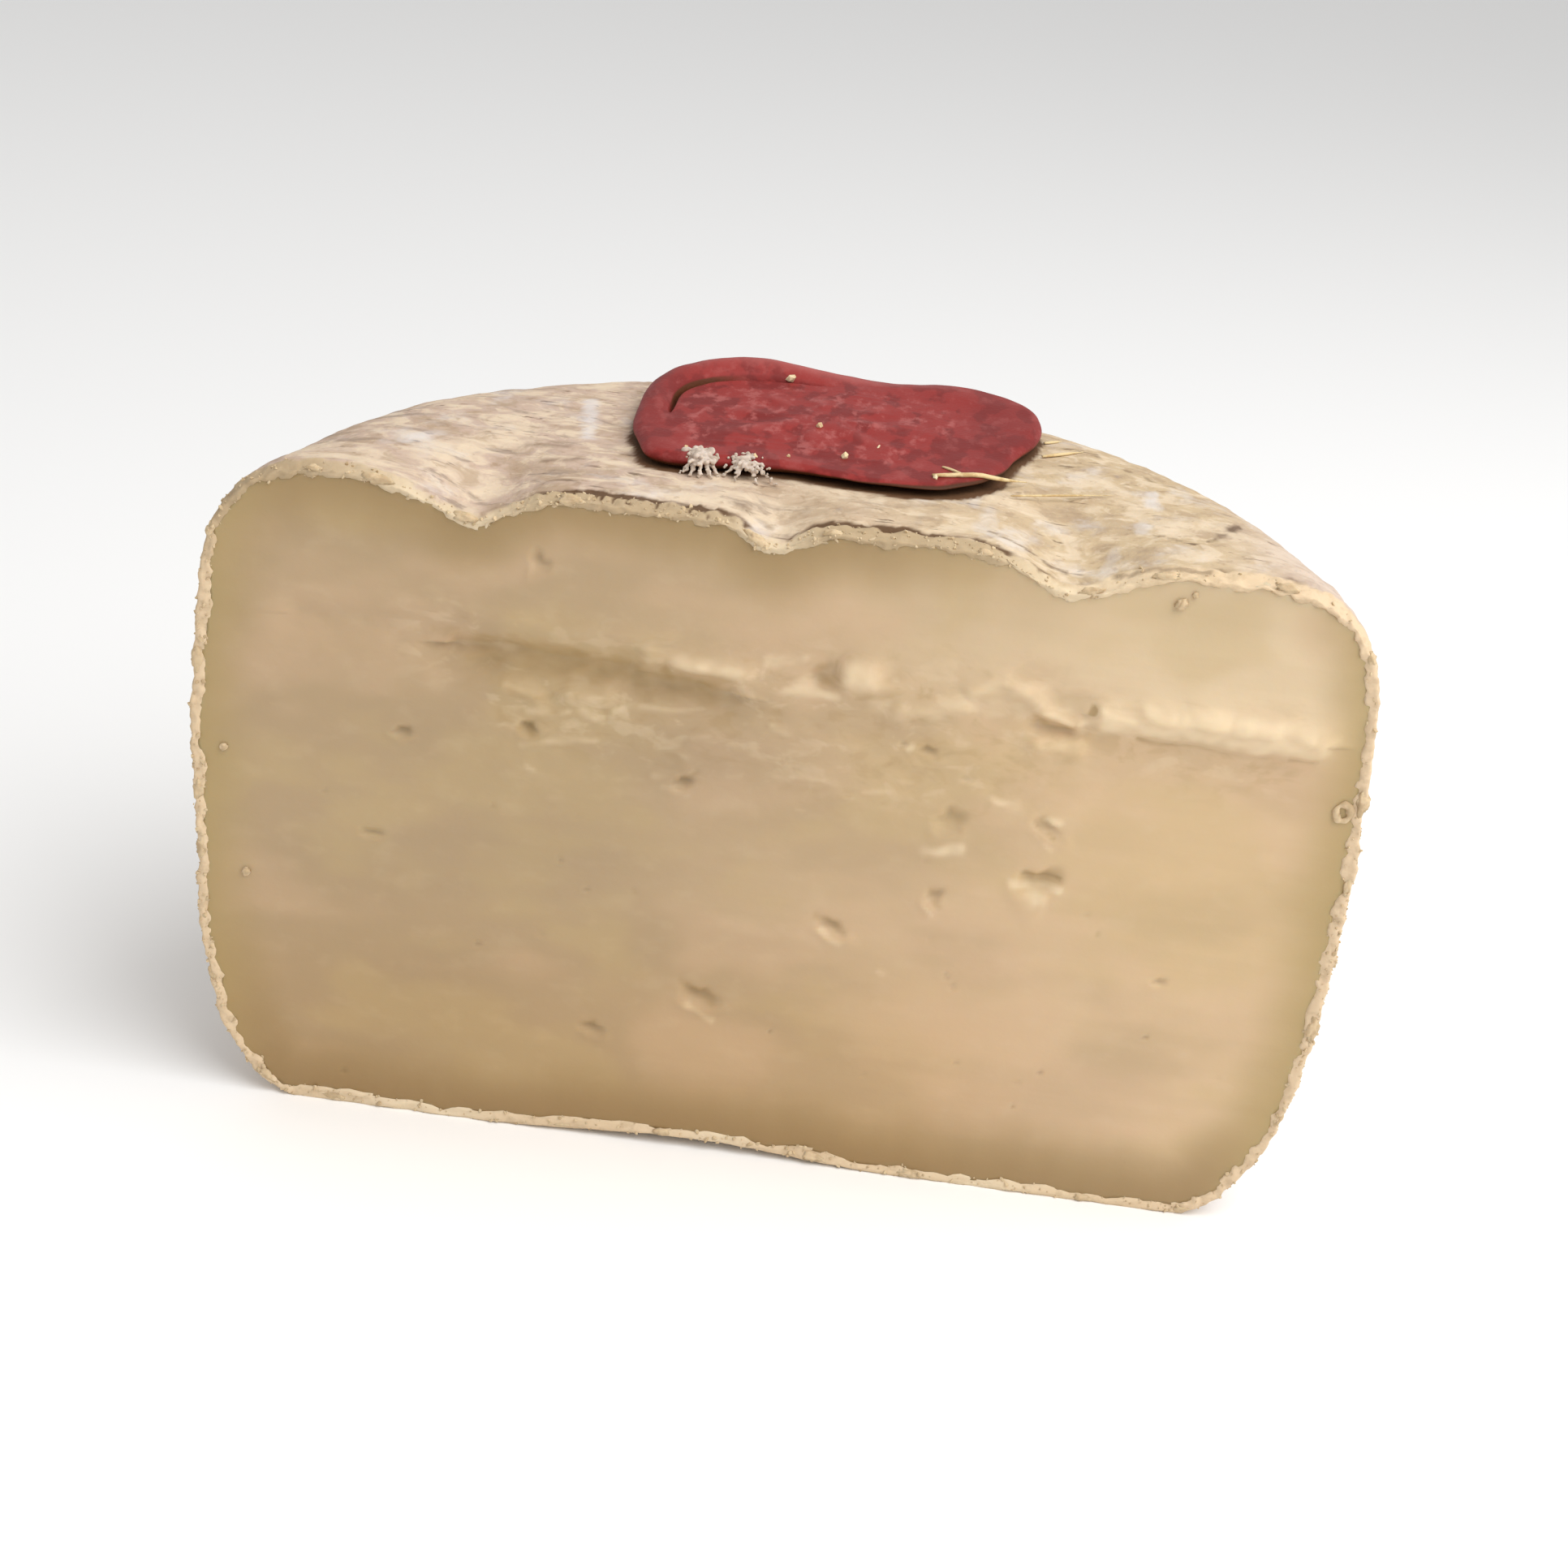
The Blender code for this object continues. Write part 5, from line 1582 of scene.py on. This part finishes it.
# What lies loose on the cheese, each in a light and a dark tone
looseTones = {
    "rind crumbs": ((0.620, 0.470, 0.295, 1), (0.490, 0.360, 0.215, 1)),
    "dry mould": ((0.60, 0.50, 0.42, 1), (0.44, 0.35, 0.28, 1)),
    "cheese specks": ((0.80, 0.66, 0.42, 1), (0.66, 0.48, 0.26, 1)),
    "straw": ((0.70, 0.54, 0.30, 1), (0.52, 0.36, 0.17, 1)),
}
looseShader = {
    "Roughness": 0.85,
    "Subsurface Weight": 0.15,
    "Subsurface Radius": (1.5, 0.9, 0.5),
    "Specular IOR Level": 0.25,
}


def looseMaterial(name):
    light, dark = looseTones[name]
    loose = Finish(name, {"light": light, "dark": dark, "shader": looseShader}, "light")
    specks = loose.noise((1.5, 1.5, 1.5), 3.0, (2, 5, 7))
    loose.lay("dark", loose.remap(specks, 0.42, 0.64))
    grain = loose.noise((0.5, 0.5, 0.5), 3.0, (1, 2, 3))
    return loose.finished([(grain, 0.10)])


waxFinish = {
    "red": (0.265, 0.028, 0.024, 1),
    "dark": (0.170, 0.017, 0.015, 1),
    "pale": (0.390, 0.100, 0.090, 1),
    "groove": (0.095, 0.030, 0.011, 1),
    "darkSkirtAndShade": (0.070, 0.022, 0.008, 1),
    "shader": {
        "Roughness": 0.52,
        "Subsurface Weight": 0.10,
        "Subsurface Radius": (1.6, 0.5, 0.4),
        "Specular IOR Level": 0.16,
    },
}


def waxMaterial():
    wax = Finish("wax", waxFinish, "red")
    blotches = wax.noise((3.6, 6.4, 3.0), 3.0, (2, 2, 2))
    wax.layWhere("dark", blotches, 0.47, 0.56, 0.80)
    wax.layStored("dark", "rightEnd", 0.45)
    wax.layStored("dark", "leftEnd", 0.50)
    scuffs = wax.noise((2.4, 4.4, 1.6), 4.0, (9, 3, 1), 0.0, 0.65)
    onDisc = wax.remap(wax.stored("disc"), 0, 1, 0.35, 1)
    wax.lay("pale", wax.times(wax.remap(scuffs, 0.50, 0.66, 0.0, 0.75), onDisc))
    wax.layWhere("pale", wax.stored("raised"), 0.04, 0.22, 0.55)
    # painted highlight along the rim's crest
    wax.layStored("pale", "crestHighlight", 0.85)
    # painted shade in the bottom of the groove
    wax.layWhere("groove", wax.stored("groove"), 0.15, 0.80, 0.95)
    # painted shade on the wax's lower wall, over its darker edge
    wax.lay("darkSkirtAndShade", wax.stored("darkSkirtAndShade"))
    grain = wax.noise((0.6, 0.6, 0.6), 3.0, (4, 4, 4))
    return wax.finished([(scuffs, 0.05), (grain, 0.05)])


crumbSkin = looseMaterial("rind crumbs")
rind, flatOuter = makeRind(rindMaterial())
makeCrumbs(rind, crumbSkin)
makeFlakes(flatOuter, crumbSkin)
dress(rind, "cheese_half")
print("rind made")
makePaste(pasteMaterial(), flatOuter)
print("paste made")
poured = makeSeal(waxMaterial())
sealTop, rindTop = topOf(poured), topOf(rind)
makeTufts(sealTop, rindTop, looseMaterial("dry mould"))
makeSpecks(sealTop, looseMaterial("cheese specks"))
makeStraws(sealTop, rindTop, looseMaterial("straw"))
print("seal made")

# What the cheese stands in, in metres but for the camera
studio = {
    "floorReach": 4,
    "floorColour": (0.95, 0.945, 0.935, 1),
    "floorRoughness": 0.7,
    "lightPlace": (0.45, -0.28, 0.72),
    "lightAim": (0, 0, 0.05),
    "lightSize": 0.9,
    "lightEnergy": 8.0,
    "skyColour": (1, 1, 1, 1),
    "skyStrength": 0.62,
}
camera = {
    "place": (20.8, -329.9, 206.0),  # from the wheel's axis
    "turn": (23.93, 5.96, -3.22),  # degrees down, tilted and to the right
    "lens": 59.97,
}


def makeCamera():
    pitch, roll, yaw = (math.radians(angle) for angle in camera["turn"])
    forward = Vector((math.sin(yaw) * math.cos(pitch), math.cos(yaw) * math.cos(pitch), -math.sin(pitch)))
    right = Vector((math.cos(yaw), -math.sin(yaw), 0))
    up = right.cross(forward)
    tiltedRight = math.cos(roll) * right + math.sin(roll) * up
    tiltedUp = math.cos(roll) * up - math.sin(roll) * right
    made = addObject("camera", bpy.data.cameras.new("camera"))
    made.data.lens = camera["lens"]
    made.data.clip_start = 0.01
    turn = Matrix((tiltedRight, tiltedUp, -forward)).transposed().to_4x4()
    place = (Vector(camera["place"]) + wheelAxis) * millimetre
    made.matrix_world = Matrix.Translation(place) @ turn
    bpy.context.scene.camera = made


def makeFloor():
    mesh = bpy.data.meshes.new("floor")
    reach = studio["floorReach"]
    corners = [(-reach, -reach, 0), (reach, -reach, 0), (reach, reach, 0), (-reach, reach, 0)]
    mesh.from_pydata(corners, [], [(0, 1, 2, 3)])
    material = bpy.data.materials.new("floor")
    material.use_nodes = True
    inputs = material.node_tree.nodes["Principled BSDF"].inputs
    inputs["Base Color"].default_value = studio["floorColour"]
    inputs["Roughness"].default_value = studio["floorRoughness"]
    mesh.materials.append(material)
    addObject("floor", mesh)


def makeLight():
    light = bpy.data.lights.new("key", "AREA")
    light.size = studio["lightSize"]
    light.energy = studio["lightEnergy"]
    made = addObject("key", light)
    made.location = studio["lightPlace"]
    aim = Vector(studio["lightAim"]) - made.location
    made.rotation_euler = aim.to_track_quat("-Z", "Y").to_euler()


def makeSky():
    world = bpy.data.worlds.new("studio")
    world.use_nodes = True
    inputs = world.node_tree.nodes["Background"].inputs
    inputs["Color"].default_value = studio["skyColour"]
    inputs["Strength"].default_value = studio["skyStrength"]
    bpy.context.scene.world = world


makeCamera()
makeFloor()
makeLight()
makeSky()
bpy.context.scene.view_settings.view_transform = "Standard"
